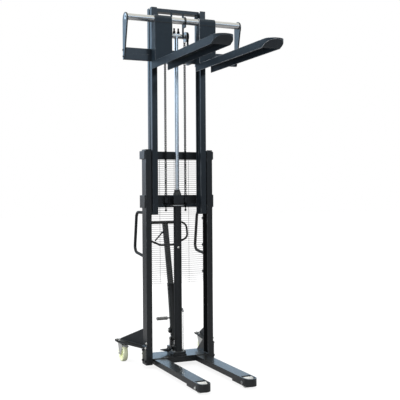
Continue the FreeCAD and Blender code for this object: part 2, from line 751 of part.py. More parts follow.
def inner_mast():
    slot_front, slot_rear = about(MAST_MIDDLE, "roller_axle + slot_gap")
    straps = []
    stops = []
    for side in SIGNS:
        column = plate(side + "_inner_section", "XY", sided(side, [
            (INNER_INSIDE, INNER_FRONT),
            (INNER_OUTSIDE, INNER_FRONT),
            (INNER_OUTSIDE, slot_front),
            (LIP_INSIDE, slot_front),
            (LIP_INSIDE, f"{INNER_FRONT} + inner_flange"),
            (WEB_OUTSIDE, f"{INNER_FRONT} + inner_flange"),
            (WEB_OUTSIDE, f"{INNER_REAR} - inner_flange"),
            (LIP_INSIDE, f"{INNER_REAR} - inner_flange"),
            (LIP_INSIDE, slot_rear),
            (INNER_OUTSIDE, slot_rear),
            (INNER_OUTSIDE, INNER_REAR),
            (INNER_INSIDE, INNER_REAR),
            (INNER_INSIDE, f"{INNER_REAR} - inner_flange"),
            (WEB_INSIDE, f"{INNER_REAR} - inner_flange"),
            (WEB_INSIDE, f"{INNER_FRONT} + inner_flange"),
            (INNER_INSIDE, f"{INNER_FRONT} + inner_flange"),
        ]), (INNER_BOTTOM, INNER_TOP))
        stub = rod(side + "_bottom_roller_stub", "x",
                   span_x(side, WEB_OUTSIDE, BOTTOM_ROLLER_OUTSIDE),
                   (MAST_MIDDLE, f"{INNER_BOTTOM} + bottom_roller_rise"), "roller_axle")
        node(side + "_inner_column", fuse(side + "_inner_column", [column, stub]))
        straps.append(box(side + "_hanger_strap",
                          span_x(side, "strap_x - strap_width / 2", "strap_x + strap_width / 2"),
                          (STRAP_FRONT, f"{STRAP_FRONT} + strap_plate"),
                          (CROSSHEAD_LOW, f"{INNER_TOP} - top_bar_height")))
        stops.append(box(side + "_carriage_stop", span_x(side, f"{WEB_INSIDE} - stop_width", WEB_INSIDE),
                         about(MAST_MIDDLE, "stop_width / 2"),
                         (f"{INNER_TOP} - stop_drop - stop_height", f"{INNER_TOP} - stop_drop")))
    bar = box("top_bar", (f"-{INNER_INSIDE}", INNER_INSIDE), (STRAP_FRONT, INNER_REAR),
              (f"{INNER_TOP} - top_bar_height", INNER_TOP))
    node("inner_top_bar", fuse("inner_top_bar", [bar] + straps))
    tie_low = f"{INNER_BOTTOM} + tie_rise"
    node("inner_lower_tie", box("inner_lower_tie", (f"-{INNER_OUTSIDE}", INNER_OUTSIDE),
                                (INNER_REAR, TIE_REAR), (tie_low, f"{tie_low} + tie_height")))
    node("carriage_stops", group("carriage_stops", stops))


def crosshead():
    axis = (CYLINDER_Y, PULLEY_Z)
    block = box("crosshead_block", about("0", f"pulley_x - {PULLEY_HALF} - crosshead_gap"),
                about(CYLINDER_Y, "crosshead_depth / 2"), (CROSSHEAD_LOW, CROSSHEAD_HIGH))
    axle = rod("pulley_axle", "x", about("0", f"pulley_x + {PULLEY_HALF} + axle_head"), axis, "pulley_axle")
    node("crosshead", fuse("crosshead", [block, axle]))
    bolts = []
    pulleys = []
    for side, sign in SIGNS.items():
        spot = (f"{sign} * crosshead_bolt_x", CYLINDER_Y)
        bolts.append(fuse(side + "_crosshead_bolt", [
            rod(side + "_crosshead_stud", "z",
                (CROSSHEAD_HIGH, f"{CROSSHEAD_HIGH} + crosshead_bolt_height"), spot, "crosshead_bolt"),
            rod(side + "_crosshead_nut", "z",
                (CROSSHEAD_HIGH, f"{CROSSHEAD_HIGH} + crosshead_nut_height"), spot, "crosshead_nut"),
        ]))
        middle = f"{sign} * pulley_x"
        low, high = about(middle, PULLEY_HALF)
        rim = f"{CHAIN_OUTSIDE} + pulley_lip"
        blank = fuse(side + "_pulley_blank", [
            rod(side + "_pulley_hub", "x", (low, high), axis, "pulley_pitch - chain_depth / 2"),
            rod(side + "_pulley_rim_low", "x", (low, f"{low} + pulley_side"), axis, rim),
            rod(side + "_pulley_rim_high", "x", (f"{high} - pulley_side", high), axis, rim),
        ])
        bore = rod(side + "_pulley_bore", "x", (low, high), axis, "pulley_axle + turning_fit")
        pulleys.append(cut(side + "_pulley", blank, bore))
    node("crosshead_bolts", group("crosshead_bolts", bolts))
    node("chain_pulleys", group("chain_pulleys", pulleys))


def chains():
    axis = (CYLINDER_Y, PULLEY_Z)
    rear_runs = []
    front_runs = []
    anchors = []
    for side, sign in SIGNS.items():
        middle = f"{sign} * pulley_x"
        across = about(middle, "chain_width / 2")
        rear_y = (f"{CYLINDER_Y} + {CHAIN_INSIDE}", f"{CYLINDER_Y} + {CHAIN_OUTSIDE}")
        run = box(side + "_rear_run", across, rear_y, (ANCHOR_HIGH, PULLEY_Z))
        ring = cut(side + "_wrap_ring", rod(side + "_wrap", "x", across, axis, CHAIN_OUTSIDE),
                   rod(side + "_wrap_core", "x", across, axis, CHAIN_INSIDE))
        upper = box(side + "_wrap_half", across, about(CYLINDER_Y, CHAIN_OUTSIDE),
                    (PULLEY_Z, f"{PULLEY_Z} + {CHAIN_OUTSIDE}"))
        rear_runs.append(fuse(side + "_rear_chain", [run, common(side + "_wrap_arch", [ring, upper])]))
        front_runs.append(box(side + "_front_chain", across,
                              (f"{CYLINDER_Y} - {CHAIN_OUTSIDE}", f"{CYLINDER_Y} - {CHAIN_INSIDE}"),
                              (f"{BEAM_LOW} + lug_height", PULLEY_Z)))
        anchors.append(box(side + "_anchor_block", about(middle, "chain_width / 2 + anchor_side"),
                           (f"{CYLINDER_Y} + pulley_pitch - anchor_front", BELT_FRONT),
                           (ANCHOR_LOW, ANCHOR_HIGH)))
        spot = (middle, f"{CYLINDER_Y} + pulley_pitch")
        anchors.append(fuse(side + "_anchor_bolt", [
            rod(side + "_anchor_stud", "z", (f"{ANCHOR_LOW} - anchor_bolt_length", ANCHOR_LOW), spot,
                "anchor_bolt"),
            rod(side + "_anchor_nut", "z", (f"{ANCHOR_LOW} - anchor_nut_height", ANCHOR_LOW), spot,
                "anchor_bolt + anchor_nut_wall"),
        ]))
    node("rear_chains", group("rear_chains", rear_runs))
    node("front_chains", group("front_chains", front_runs))
    node("chain_anchors", group("chain_anchors", anchors))


def rollers():
    inner_radius = "inner_depth / 2 - inner_flange - roller_gap"
    in_column = (f"{INNER_INSIDE} + roller_side_gap", f"{WEB_INSIDE} - roller_side_gap")
    out_of_column = (f"{WEB_OUTSIDE} + roller_side_gap", f"{LIP_INSIDE} - roller_side_gap")
    in_channel = (f"{OUTER_EDGE} + bottom_roller_gap", BOTTOM_ROLLER_OUTSIDE)
    sets = [
        ("mast_top_rollers", out_of_column, f"{OUTER_TOP} - top_roller_drop", inner_radius),
        ("mast_bottom_rollers", in_channel, f"{INNER_BOTTOM} + bottom_roller_rise",
         "channel_depth / 2 - channel_wall - roller_gap"),
        ("carriage_upper_rollers", in_column, f"{INNER_TOP} - upper_roller_drop", inner_radius),
        ("carriage_lower_rollers", in_column, f"{INNER_TOP} - lower_roller_drop", inner_radius),
    ]
    for label, (inner, outer), height, radius in sets:
        pair = []
        for side in SIGNS:
            across = span_x(side, inner, outer)
            axis = (MAST_MIDDLE, height)
            pair.append(cut(f"{label}_{side}", rod(f"{label}_{side}_rim", "x", across, axis, radius),
                            rod(f"{label}_{side}_bore", "x", across, axis, "roller_axle + turning_fit")))
        node(label, group(label, pair))


def carriage():
    bar_axis = ("-bar_reach", BAR_Z)
    bar_x = ("-bar_half", "bar_half")
    node("carriage_bar", rod("carriage_bar", "x", bar_x, bar_axis, "bar_radius"))
    beam_ledge = f"{INNER_TOP} - beam_ledge_drop"
    head_radius = "(bar_reach + end_plate_front - carriage_back) / 2"
    head_axis = (f"-carriage_back - {head_radius}", f"{INNER_TOP} - end_plate_drop - {head_radius}")
    beam = [
        box("beam_foot", bar_x, ("-fork_heel + beam_gap", "-carriage_back"), (BEAM_LOW, beam_ledge)),
        box("beam_head", bar_x, ("-fork_heel + beam_gap + beam_ledge", "-carriage_back"),
            (beam_ledge, f"{INNER_TOP} - beam_top_drop")),
    ]
    ends = []
    bolts = []
    walls = []
    for side, sign in SIGNS.items():
        end_x = span_x(side, "bar_half", "bar_half + end_plate")
        tapered = plate(side + "_end_taper", "YZ", [
            ("-carriage_back", BEAM_LOW),
            ("-carriage_back", head_axis[1]),
            ("-bar_reach - end_plate_front", head_axis[1]),
            ("-carriage_back - end_plate_foot", BEAM_LOW),
        ], end_x)
        ends.append(fuse(side + "_end_plate", [
            tapered, rod(side + "_end_head", "x", end_x, head_axis, head_radius)]))
        bolts.append(rod(side + "_bar_bolt", "x",
                         span_x(side, "bar_half + end_plate", "bar_half + end_plate + axle_head"), bar_axis,
                         "bar_bolt"))
        beam.append(box(side + "_chain_lug", about(f"{sign} * pulley_x", "chain_width / 2 + lug_side"),
                        ("-carriage_back", f"{CYLINDER_Y} - pulley_pitch + chain_depth"),
                        (BEAM_LOW, f"{BEAM_LOW} + lug_height")))
        outer = f"{INNER_INSIDE} - roller_plate_gap"
        stub_x = span_x(side, outer, f"{WEB_INSIDE} - roller_side_gap")
        stubs = []
        for level in ("upper", "lower"):
            stubs.append(rod(f"{side}_{level}_roller_stub", "x", stub_x,
                             (MAST_MIDDLE, f"{INNER_TOP} - {level}_roller_drop"), "roller_axle"))
        wall = box(side + "_roller_wall", span_x(side, f"{outer} - roller_plate", outer),
                   ("-carriage_back", "roller_plate_depth - carriage_back"),
                   (BEAM_LOW, f"{INNER_TOP} - roller_plate_drop"))
        walls.append(fuse(side + "_roller_plate", [wall] + stubs))
    node("end_plates", group("end_plates", ends))
    node("carriage_bolts", group("carriage_bolts", bolts))
    node("carriage_beam", fuse("carriage_beam", beam))
    node("roller_plates", group("roller_plates", walls))
    collar_x = about("0", "collar_width / 2")
    ring = rod("collar_ring", "x", collar_x, bar_axis, "bar_radius + collar_wall")
    key = box("collar_key", collar_x, about("-bar_reach", "bar_radius"), (f"{BAR_Z} - 2 * bar_radius", BAR_Z))
    hole = rod("collar_hole", "x", collar_x, bar_axis, "bar_radius + turning_fit")
    node("centre_collar", cut("centre_collar", fuse("collar_blank", [ring, key]), hole))


def forks():
    high = f"{FORK_LOW} + fork_height"
    bar_axis = ("-bar_reach", BAR_Z)
    blade_y = (f"-{BLADE_END}", f"-{SHANK_FRONT}")
    cheek = [
        (f"-{SHANK_FRONT}", FORK_LOW),
        ("-fork_heel", FORK_LOW),
        ("-fork_heel", f"{FORK_LOW} + fork_cheek_height"),
        ("-bar_reach + bar_radius", BAR_Z),
        (f"-{SHANK_FRONT}", BAR_Z),
    ]
    tip = [
        (f"-{BLADE_END}", FORK_LOW),
        (f"-{BLADE_END}", high),
        ("-fork_reach", high),
        ("-fork_reach", f"{high} - nose_edge"),
    ]
    for side, sign in SIGNS.items():
        middle = f"{sign} * fork_centre"
        outside = about(middle, "fork_width / 2")
        inside = about(middle, "fork_width / 2 - fork_wall")
        blade = box(side + "_blade", outside, blade_y, (FORK_LOW, high))
        gutter = box(side + "_gutter", inside, blade_y, (FORK_LOW, f"{high} - fork_plate"))
        nose_plan = box(side + "_nose_plan", outside, ("-fork_reach", f"-{BLADE_END}"), (FORK_LOW, high))
        nose_round = rounded(side + "_nose_round", nose_plan, (1, 5), value("nose_radius"))
        blank = fuse(side + "_fork_blank", [
            rod(side + "_sleeve", "x", outside, bar_axis, "bar_radius + sleeve_wall"),
            box(side + "_shank", outside, (f"-{SHANK_FRONT}", f"-{SHANK_FRONT} + shank_plate"),
                (f"{high} - fork_plate", BAR_Z)),
            plate(side + "_cheek_low", "YZ", cheek, (outside[0], inside[0])),
            plate(side + "_cheek_high", "YZ", cheek, (inside[1], outside[1])),
            cut(side + "_blade_shell", blade, gutter),
            common(side + "_nose", [nose_round, plate(side + "_nose_slope", "YZ", tip, outside)]),
        ])
        bore = rod(side + "_sleeve_bore", "x", outside, bar_axis, "bar_radius + sliding_fit")
        node(side + "_fork", cut(side + "_fork", blank, bore))


def guard():
    wire = value("mesh_wire")
    half = value(MESH_HALF)
    low = value("mesh_low")
    pitch = value("mesh_pitch")
    front = value(BELT_REAR)
    columns = round(value("mesh_columns"))
    rows = int((value(UPPER_BELT[0]) + value("mesh_lap") - low) / pitch)
    across = 2 * half / columns

    def frame(x0, x1, z0, z1):
        corners = [Vector(x, front, z) for x, z in ((x0, z0), (x1, z0), (x1, z1), (x0, z1), (x0, z0))]
        return Part.makePolygon(corners)

    outline = frame(-half - wire / 2, half + wire / 2, low - wire / 2, low + rows * pitch + wire / 2)
    gaps = []
    for row in range(rows):
        for column in range(columns):
            x = -half + column * across
            z = low + row * pitch
            gaps.append(frame(x + wire / 2, x + across - wire / 2, z + wire / 2, z + pitch - wire / 2))
    print("guard mesh gaps", len(gaps))
    face = Part.makeFace([outline] + gaps, "Part::FaceMakerBullseye")
    node("guard_mesh", shape_piece("guard_mesh", face.extrude(Vector(0, wire, 0))))
    clips = []
    for side in SIGNS:
        clip_x = span_x(side, f"{OUTER_EDGE} + clip_side", f"{MESH_HALF} + clip_side")
        for level in range(3):
            height = f"mesh_low + mesh_pitch * (clip_first_row + clip_row_step * {level})"
            clips.append(box(f"{side}_clip_{level}", clip_x, ("channel_depth", BELT_REAR),
                             about(height, "clip_height / 2")))
    node("guard_clips", group("guard_clips", clips))


def grab_handles():
    handles = []
    for side, sign in SIGNS.items():
        x = f"{sign} * (mast_half - grab_inset)"
        handles.append(shape_piece(side + "_grab_handle", bent_tube([
            point(x, "channel_depth", "grab_high"),
            point(x, "channel_depth + grab_top_reach", "grab_high"),
            point(x, "channel_depth + grab_foot_reach", "grab_low + grab_foot_rise"),
            point(x, "channel_depth + grab_stub", "grab_low"),
            point(x, "channel_depth", "grab_low"),
        ], value("grab_bend"), value("grab_radius"))))
    node("grab_handles", group("grab_handles", handles))


def pump():
    head_top = f"{CAM_Z} - cam_radius - cam_gap"
    head_low = f"{head_top} - plunger_head_height"
    hinge = (f"-{PEDAL_X}", PEDAL_Z)
    ear = "pedal_half + ear_gap + ear_plate"
    parts = [box("pump_body", about("0", "pump_half"), (PUMP_FRONT, f"{PUMP_FRONT} + pump_length"),
                 (BASE_TOP, PUMP_TOP))]
    for side in SIGNS:
        parts.append(plate(side + "_cheek", "YZ", [
            (f"{PIVOT_Y} - cheek_foot", PUMP_TOP),
            (f"{PIVOT_Y} + cheek_foot", PUMP_TOP),
            (f"{PIVOT_Y} + cheek_head", f"{PIVOT_Z} + cheek_head"),
            (f"{PIVOT_Y} - cheek_head", f"{PIVOT_Z} + cheek_head"),
        ], span_x(side, "lever_half + cheek_gap", "lever_half + cheek_gap + cheek_plate")))
    for name, along in (("front", (f"{PIVOT_Y} - ({ear})", f"{PIVOT_Y} - pedal_half - ear_gap")),
                        ("rear", (f"{PIVOT_Y} + pedal_half + ear_gap", f"{PIVOT_Y} + {ear}"))):
        parts.append(box(f"{name}_pedal_ear", (f"-{PEDAL_X} - pedal_hub - ear_wall", "-pump_half"), along,
                         about(PEDAL_Z, "pedal_hub + ear_wall")))
    barrel = rod("plunger_bore", "z", (f"{BASE_TOP} + plunger_floor", PUMP_TOP), ("0", CAM_Y),
                 "plunger_radius + turning_fit")
    pin_hole = rod("pump_pin_hole", "x", about("0", "lever_half + cheek_gap + cheek_plate"),
                   (PIVOT_Y, PIVOT_Z), "pivot_pin + turning_fit")
    hinge_hole = rod("pedal_pin_hole", "y", about(PIVOT_Y, ear), hinge, "pedal_pin + turning_fit")
    node("pump_block", cut("pump_block", fuse("pump_blank", parts), barrel, pin_hole, hinge_hole))
    node("plunger", fuse("plunger", [
        rod("plunger_stem", "z", (f"{PUMP_TOP} - plunger_tail", head_top), ("0", CAM_Y), "plunger_radius"),
        rod("plunger_head", "z", (head_low, head_top), ("0", CAM_Y), "plunger_head"),
    ]))
    spring = coil_spring(value(CAM_Y), value(f"{PUMP_TOP} + cam_gap"), value(f"{head_low} - cam_gap"))
    node("plunger_spring", shape_piece("plunger_spring", spring))
    treadle = plate("pedal_treadle", "XY", [
        (f"-{PEDAL_X}", f"{PIVOT_Y} - pedal_half"),
        (f"-{PEDAL_X}", f"{PIVOT_Y} + pedal_half"),
        (f"-{PEDAL_X} - pedal_length", f"{PIVOT_Y} + pedal_tip_half"),
        (f"-{PEDAL_X} - pedal_length", f"{PIVOT_Y} - pedal_tip_half"),
    ], (PEDAL_Z, f"{PEDAL_Z} + pedal_plate"))
    node("release_pedal", fuse("release_pedal", [
        rod("pedal_pin", "y", about(PIVOT_Y, ear), hinge, "pedal_pin"),
        rod("pedal_hub", "y", about(PIVOT_Y, "pedal_half"), hinge, "pedal_hub"),
        treadle,
    ]))


def coil_spring(y, low, high):
    """A round wire wound between two heights, each quarter turn a pair of tangent arcs."""
    wire = value("spring_wire / 2")
    radius = value("plunger_radius + spring_gap + spring_wire / 2")
    turns = value("spring_coils")
    bottom = low + wire
    rise = (high - wire - bottom) / turns

    def spot(turn):
        angle = 2 * math.pi * turn
        return Vector(radius * math.cos(angle), y + radius * math.sin(angle), bottom + rise * turn)

    def heading(turn):
        angle = 2 * math.pi * turn
        around = 2 * math.pi * radius
        return Vector(-around * math.sin(angle), around * math.cos(angle), rise).normalize()

    edges = []
    for quarter in range(round(turns * 4)):
        start, end = spot(quarter / 4), spot((quarter + 1) / 4)
        leave, arrive = heading(quarter / 4), heading((quarter + 1) / 4)
        chord = end - start
        square = 2 * (1 - leave.dot(arrive))
        along = chord.dot(leave + arrive)
        reach = (-along + math.sqrt(along * along + square * chord.dot(chord))) / square
        joint = (start + leave * reach + end - arrive * reach) * 0.5
        edges.append(Part.Arc(start, arc_middle(start, leave, joint), joint).toShape())
        edges.append(Part.Arc(joint, arc_middle(end, arrive * -1, joint), end).toShape())
    samples = 48
    spots = [spot(step / samples) for step in range(int(turns * samples) + 1)]
    gap = min(first.distanceToPoint(second) for step, first in enumerate(spots)
              for second in spots[step + samples // 2:]) - 2 * wire
    print("plunger spring's least gap to itself", round(gap, 2))
    ring = Part.Wire(Part.makeCircle(wire, spot(0), heading(0)))
    return Part.Wire(edges).makePipeShell([ring], True, False)


def arc_middle(start, leave, end):
    """The middle of the arc that leaves start in a direction and reaches end."""
    chord = end - start
    across = leave.cross(chord).cross(leave).normalize()
    radius = chord.dot(chord) / (2 * chord.dot(across))
    centre = start + across * radius
    return centre + ((start + end) * 0.5 - centre).normalize() * radius


def pump_lever():
    half = about("0", "lever_half")
    cam_x = about("0", "cam_radius")
    deep = "lever_depth / 2"
    solid_y = f"{PIVOT_Y} + joint_reach * lever_solid / joint_rise"
    arm = plate("lever_arm", "YZ", [
        (f"{PIVOT_Y} - {deep}", PIVOT_Z),
        (f"{PIVOT_Y} + {deep}", PIVOT_Z),
        (f"{JOINT_Y} + {deep}", JOINT_Z),
        (f"{JOINT_Y} - {deep}", JOINT_Z),
    ], half)
    hollow = plate("lever_hollow", "YZ", [
        (f"{solid_y} - {deep} - lever_wall", f"{PIVOT_Z} + lever_solid"),
        (f"{solid_y} + {deep} - lever_wall", f"{PIVOT_Z} + lever_solid"),
        (f"{JOINT_Y} + {deep} - lever_wall", f"{JOINT_Z} - lever_wall"),
        (f"{JOINT_Y} - {deep} - lever_wall", f"{JOINT_Z} - lever_wall"),
    ], about("0", "lever_half - lever_wall"))
    web = plate("lever_cam_web", "YZ", [
        (PIVOT_Y, f"{PIVOT_Z} + cam_radius / 2"),
        (CAM_Y, CAM_Z),
        (CAM_Y, f"{CAM_Z} + cam_radius"),
        (PIVOT_Y, f"{PIVOT_Z} + lever_depth"),
    ], cam_x)
    blank = fuse("lever_blank", [
        cut("lever_channel", arm, hollow),
        rod("lever_boss", "x", half, (PIVOT_Y, PIVOT_Z), "lever_boss"),
        rod("lever_cam", "x", cam_x, (CAM_Y, CAM_Z), "cam_radius"),
        web,
        rod("foot_peg", "x", ("-lever_half - peg_grip_gap - peg_length", "-lever_half + lever_wall"),
            PEG_AXIS, "peg_radius"),
    ])
    bore = rod("lever_bore", "x", half, (PIVOT_Y, PIVOT_Z), "pivot_pin + turning_fit")
    node("pump_lever", cut("pump_lever", blank, bore))


def handle():
    deep = "handle_depth / 2"
    hollow_deep = f"({deep} - handle_wall)"
    tube = plate("handle_box", "YZ", [
        (f"{JOINT_Y} - {deep}", JOINT_Z),
        (f"{JOINT_Y} + {deep}", JOINT_Z),
        (f"{HANDLE_TOP_Y} + {deep}", HANDLE_TOP_Z),
        (f"{HANDLE_TOP_Y} - {deep}", HANDLE_TOP_Z),
    ], about("0", "handle_half"))
    hollow = plate("handle_hollow", "YZ", [
        (f"{JOINT_Y} - {hollow_deep}", JOINT_Z),
        (f"{JOINT_Y} + {hollow_deep}", JOINT_Z),
        (f"{HANDLE_TOP_Y} + {hollow_deep}", f"{HANDLE_TOP_Z} - handle_wall"),
        (f"{HANDLE_TOP_Y} - {hollow_deep}", f"{HANDLE_TOP_Z} - handle_wall"),
    ], about("0", "handle_half - handle_wall"))
    hub_y = about(RELEASE_Y, "release_width / 2")
    pin_y = (f"{hub_y[0]} - ear_gap", f"{hub_y[1]} + ear_gap + release_plate")
    release_axis = (f"-{RELEASE_X}", RELEASE_Z)
    node("handle_tube", fuse("handle_tube", [
        cut("handle_shell", tube, hollow),
        box("release_bracket", (f"-{RELEASE_X} - release_hub", "-handle_half"),
            (f"{hub_y[1]} + ear_gap", pin_y[1]), about(RELEASE_Z, "release_hub")),
        rod("release_pin", "y", pin_y, release_axis, "release_pin"),
    ]))
    stick = plate("release_stick", "XZ", [
        (f"-{RELEASE_X}", f"{RELEASE_Z} + release_hub"),
        (f"-{RELEASE_X}", f"{RELEASE_Z} - release_hub"),
        (f"-{RELEASE_X} - release_reach", f"{RELEASE_Z} - release_fall - release_pin"),
        (f"-{RELEASE_X} - release_reach - release_hub", f"{RELEASE_Z} - release_fall + release_pin"),
    ], about(RELEASE_Y, "release_plate"))
    hub = rod("release_hub", "y", hub_y, release_axis, "release_hub")
    hole = rod("release_hole", "y", hub_y, release_axis, "release_pin + turning_fit")
    node("release_lever", cut("release_lever", fuse("release_blank", [hub, stick]), hole))


def hand_loop():
    up = point("0", "handle_reach", "handle_rise").normalize()
    across = Vector(1, 0, 0)
    grip_radius = value("loop_radius + grip_wall")
    bar = point("0", HANDLE_TOP_Y, HANDLE_TOP_Z) + up * (grip_radius + value("grip_gap"))
    foot = bar - up * value("loop_foot")
    shoulder = bar - up * value("loop_shoulder")
    half = across * value("loop_half")
    inner = across * value("handle_half")
    stub = across * value("handle_half + loop_stub")
    node("hand_loop", shape_piece("hand_loop", bent_tube(
        [foot - inner, foot - stub, shoulder - half, bar - half,
         bar + half, shoulder + half, foot + stub, foot + inner],
        value("loop_bend"), value("loop_radius"))))
    start = bar - across * value("grip_half")
    sleeve = Part.makeCylinder(grip_radius, value("2 * grip_half"), start, across)
    core = Part.makeCylinder(value("loop_radius + turning_fit"), value("2 * grip_half"), start, across)
    peg_x = ("-lever_half - peg_grip_gap - peg_length", "-lever_half - peg_grip_gap")
    peg_grip = cut("peg_grip", rod("peg_sleeve", "x", peg_x, PEG_AXIS, "peg_radius + peg_grip_wall"),
                   rod("peg_sleeve_bore", "x", peg_x, PEG_AXIS, "peg_radius + turning_fit"))
    node("handle_grips", group("handle_grips", [shape_piece("loop_grip", sleeve.cut(core)), peg_grip]))


for build in (outer_mast, base, load_wheels, casters, cylinder, inner_mast, crosshead, chains, rollers,
              carriage, forks, guard, grab_handles, pump, pump_lever, handle, hand_loop):
    build()
doc.recompute()

for item in doc.Objects:
    if "Invalid" in item.State or "Error" in item.State:
        raise RuntimeError(f"{item.Label} failed: {item.State}")
for item in nodes:
    if item.Shape.isNull() or not item.Shape.isValid() or not item.Shape.Solids:
        raise RuntimeError(f"{item.Label} has no valid solid")

os.makedirs("parts", exist_ok=True)
for item in nodes:
    item.Shape.exportStep(f"parts/{item.Label}.step")
print("wrote", len(nodes), "nodes")
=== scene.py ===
import json
import math

import bmesh
import bpy
from mathutils import Matrix, Vector


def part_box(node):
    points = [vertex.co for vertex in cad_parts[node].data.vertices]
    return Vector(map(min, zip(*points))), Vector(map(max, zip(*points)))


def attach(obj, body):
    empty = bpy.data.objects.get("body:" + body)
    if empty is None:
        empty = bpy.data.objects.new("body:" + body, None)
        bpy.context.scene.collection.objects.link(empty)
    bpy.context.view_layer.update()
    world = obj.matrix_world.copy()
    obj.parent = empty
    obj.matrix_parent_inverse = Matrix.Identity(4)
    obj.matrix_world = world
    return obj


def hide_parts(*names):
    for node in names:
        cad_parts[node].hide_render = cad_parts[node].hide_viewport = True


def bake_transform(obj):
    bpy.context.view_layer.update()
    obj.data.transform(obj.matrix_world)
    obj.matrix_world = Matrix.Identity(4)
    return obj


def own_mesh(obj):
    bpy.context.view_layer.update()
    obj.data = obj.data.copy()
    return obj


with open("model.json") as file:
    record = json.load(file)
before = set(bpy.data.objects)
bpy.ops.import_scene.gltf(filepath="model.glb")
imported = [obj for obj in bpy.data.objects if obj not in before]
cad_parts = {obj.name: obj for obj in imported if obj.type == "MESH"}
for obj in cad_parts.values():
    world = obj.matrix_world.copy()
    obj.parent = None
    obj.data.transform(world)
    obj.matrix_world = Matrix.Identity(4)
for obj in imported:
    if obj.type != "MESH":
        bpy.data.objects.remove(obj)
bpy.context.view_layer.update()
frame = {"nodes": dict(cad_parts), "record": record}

NODES = frame["nodes"]


# Materials

COAT_ROUGHNESS = 0.14
EVEN = (1.0, 1.0, 1.0)


def shader(name):
    """A new material with its tree, its surface and the place on the object."""
    material = bpy.data.materials.new(name)
    material.use_nodes = True
    tree = material.node_tree
    place = tree.nodes.new("ShaderNodeTexCoord").outputs["Object"]
    return material, tree, tree.nodes["Principled BSDF"], place


def noise(tree, place, scale, detail=4.0, roughness=0.55, stretch=None):
    if stretch:
        mapping = tree.nodes.new("ShaderNodeMapping")
        mapping.inputs["Scale"].default_value = stretch
        tree.links.new(place, mapping.inputs["Vector"])
        place = mapping.outputs["Vector"]
    texture = tree.nodes.new("ShaderNodeTexNoise")
    texture.inputs["Scale"].default_value = scale
    texture.inputs["Detail"].default_value = detail
    texture.inputs["Roughness"].default_value = roughness
    tree.links.new(place, texture.inputs["Vector"])
    return texture.outputs["Fac"]


def ramp(tree, factor, stops):
    node = tree.nodes.new("ShaderNodeValToRGB")
    keys = node.color_ramp.elements
    while len(keys) < len(stops):
        keys.new(0.5)
    for key, (position, colour) in zip(keys, stops):
        key.position = position
        key.color = (*colour, 1.0)
    tree.links.new(factor, node.inputs["Fac"])
    return node.outputs["Color"]


def grey(level):
    return (level, level, level)


def maths(tree, one, two, operation="MAXIMUM"):
    node = tree.nodes.new("ShaderNodeMath")
    node.operation = operation
    tree.links.new(one, node.inputs[0])
    tree.links.new(two, node.inputs[1])
    return node.outputs["Value"]


def mix(tree, factor):
    """A colour mix: its result and its input sockets."""
    node = tree.nodes.new("ShaderNodeMix")
    node.data_type = "RGBA"
    sockets = {socket.identifier: socket for socket in node.inputs}
    tree.links.new(factor, sockets["Factor_Float"])
    return {socket.identifier: socket for socket in node.outputs}["Result_Color"], sockets


def spread(tree, value, low, high, start=0.0):
    """A value's range between two limits, mapped to the range from start to 1."""
    node = tree.nodes.new("ShaderNodeMapRange")
    node.inputs["From Min"].default_value = low
    node.inputs["From Max"].default_value = high
    node.inputs["To Min"].default_value = start
    tree.links.new(value, node.inputs["Value"])
    return node.outputs["Result"]


def sheen(tree, surface, factor, rough, top=0.7):
    """A roughness that varies between two values."""
    tone = ramp(tree, factor, [(0.3, grey(rough[0])), (top, grey(rough[1]))])
    tree.links.new(tone, surface.inputs["Roughness"])


def bump(tree, surface, height, strength, distance):
    node = tree.nodes.new("ShaderNodeBump")
    node.inputs["Strength"].default_value = strength
    node.inputs["Distance"].default_value = distance
    tree.links.new(height, node.inputs["Height"])
    tree.links.new(node.outputs["Normal"], surface.inputs["Normal"])


def paint(name, dark, light, rough, coat, grain, stops, bare_and_highlight):
    """Paint with scuff marks: their grain, where they show, and the colour under the paint. On
    rounded edges this lighter colour is also a painted highlight.
    """
    material, tree, surface, place = shader(name)
    clouds = noise(tree, place, scale=2.6, detail=6.0)
    scuff_and_highlight_mask = noise(tree, place, scale=22.0, detail=8.0, roughness=0.75, stretch=grain)
    scuffed_and_lit, colours = mix(tree, ramp(tree, scuff_and_highlight_mask, stops))
    tree.links.new(ramp(tree, clouds, [(0.3, dark), (0.72, light)]), colours["A_Color"])
    # On the edge materials this lighter colour is worn paint and also a painted highlight along the
    # edges.
    colours["B_Color"].default_value = (*bare_and_highlight, 1.0)
    tree.links.new(scuffed_and_lit, surface.inputs["Base Color"])
    smears = noise(tree, place, scale=26.0, detail=8.0, roughness=0.7)
    sheen(tree, surface, smears, rough, top=0.75)
    surface.inputs["Coat Weight"].default_value = coat
    surface.inputs["Coat Roughness"].default_value = COAT_ROUGHNESS
    peel = noise(tree, place, scale=420.0, detail=2.0)
    bump(tree, surface, peel, strength=0.06, distance=0.0006)
    return material


def metal(name, dark, light, rough, grain=EVEN, relief=0.08, metallic=1.0):
    """Metal that is brushed along its grain."""
    material, tree, surface, place = shader(name)
    clouds = noise(tree, place, scale=9.0, detail=6.0, roughness=0.65)
    tree.links.new(ramp(tree, clouds, [(0.3, dark), (0.7, light)]), surface.inputs["Base Color"])
    surface.inputs["Metallic"].default_value = metallic
    brushed = noise(tree, place, scale=60.0, detail=5.0, roughness=0.6, stretch=grain)
    sheen(tree, surface, brushed, rough)
    bump(tree, surface, brushed, strength=relief, distance=0.0004)
    return material


def soft(name, dark, light, rough, pore, clear=0.0):
    """Plastic or rubber."""
    material, tree, surface, place = shader(name)
    clouds = noise(tree, place, scale=18.0, detail=7.0, roughness=0.65)
    tree.links.new(ramp(tree, clouds, [(0.28, dark), (0.7, light)]), surface.inputs["Base Color"])
    sheen(tree, surface, noise(tree, place, scale=40.0), rough)
    surface.inputs["Transmission Weight"].default_value = clear
    pores = noise(tree, place, scale=pore, detail=3.0)
    bump(tree, surface, pores, strength=0.12, distance=0.0005)
    return material


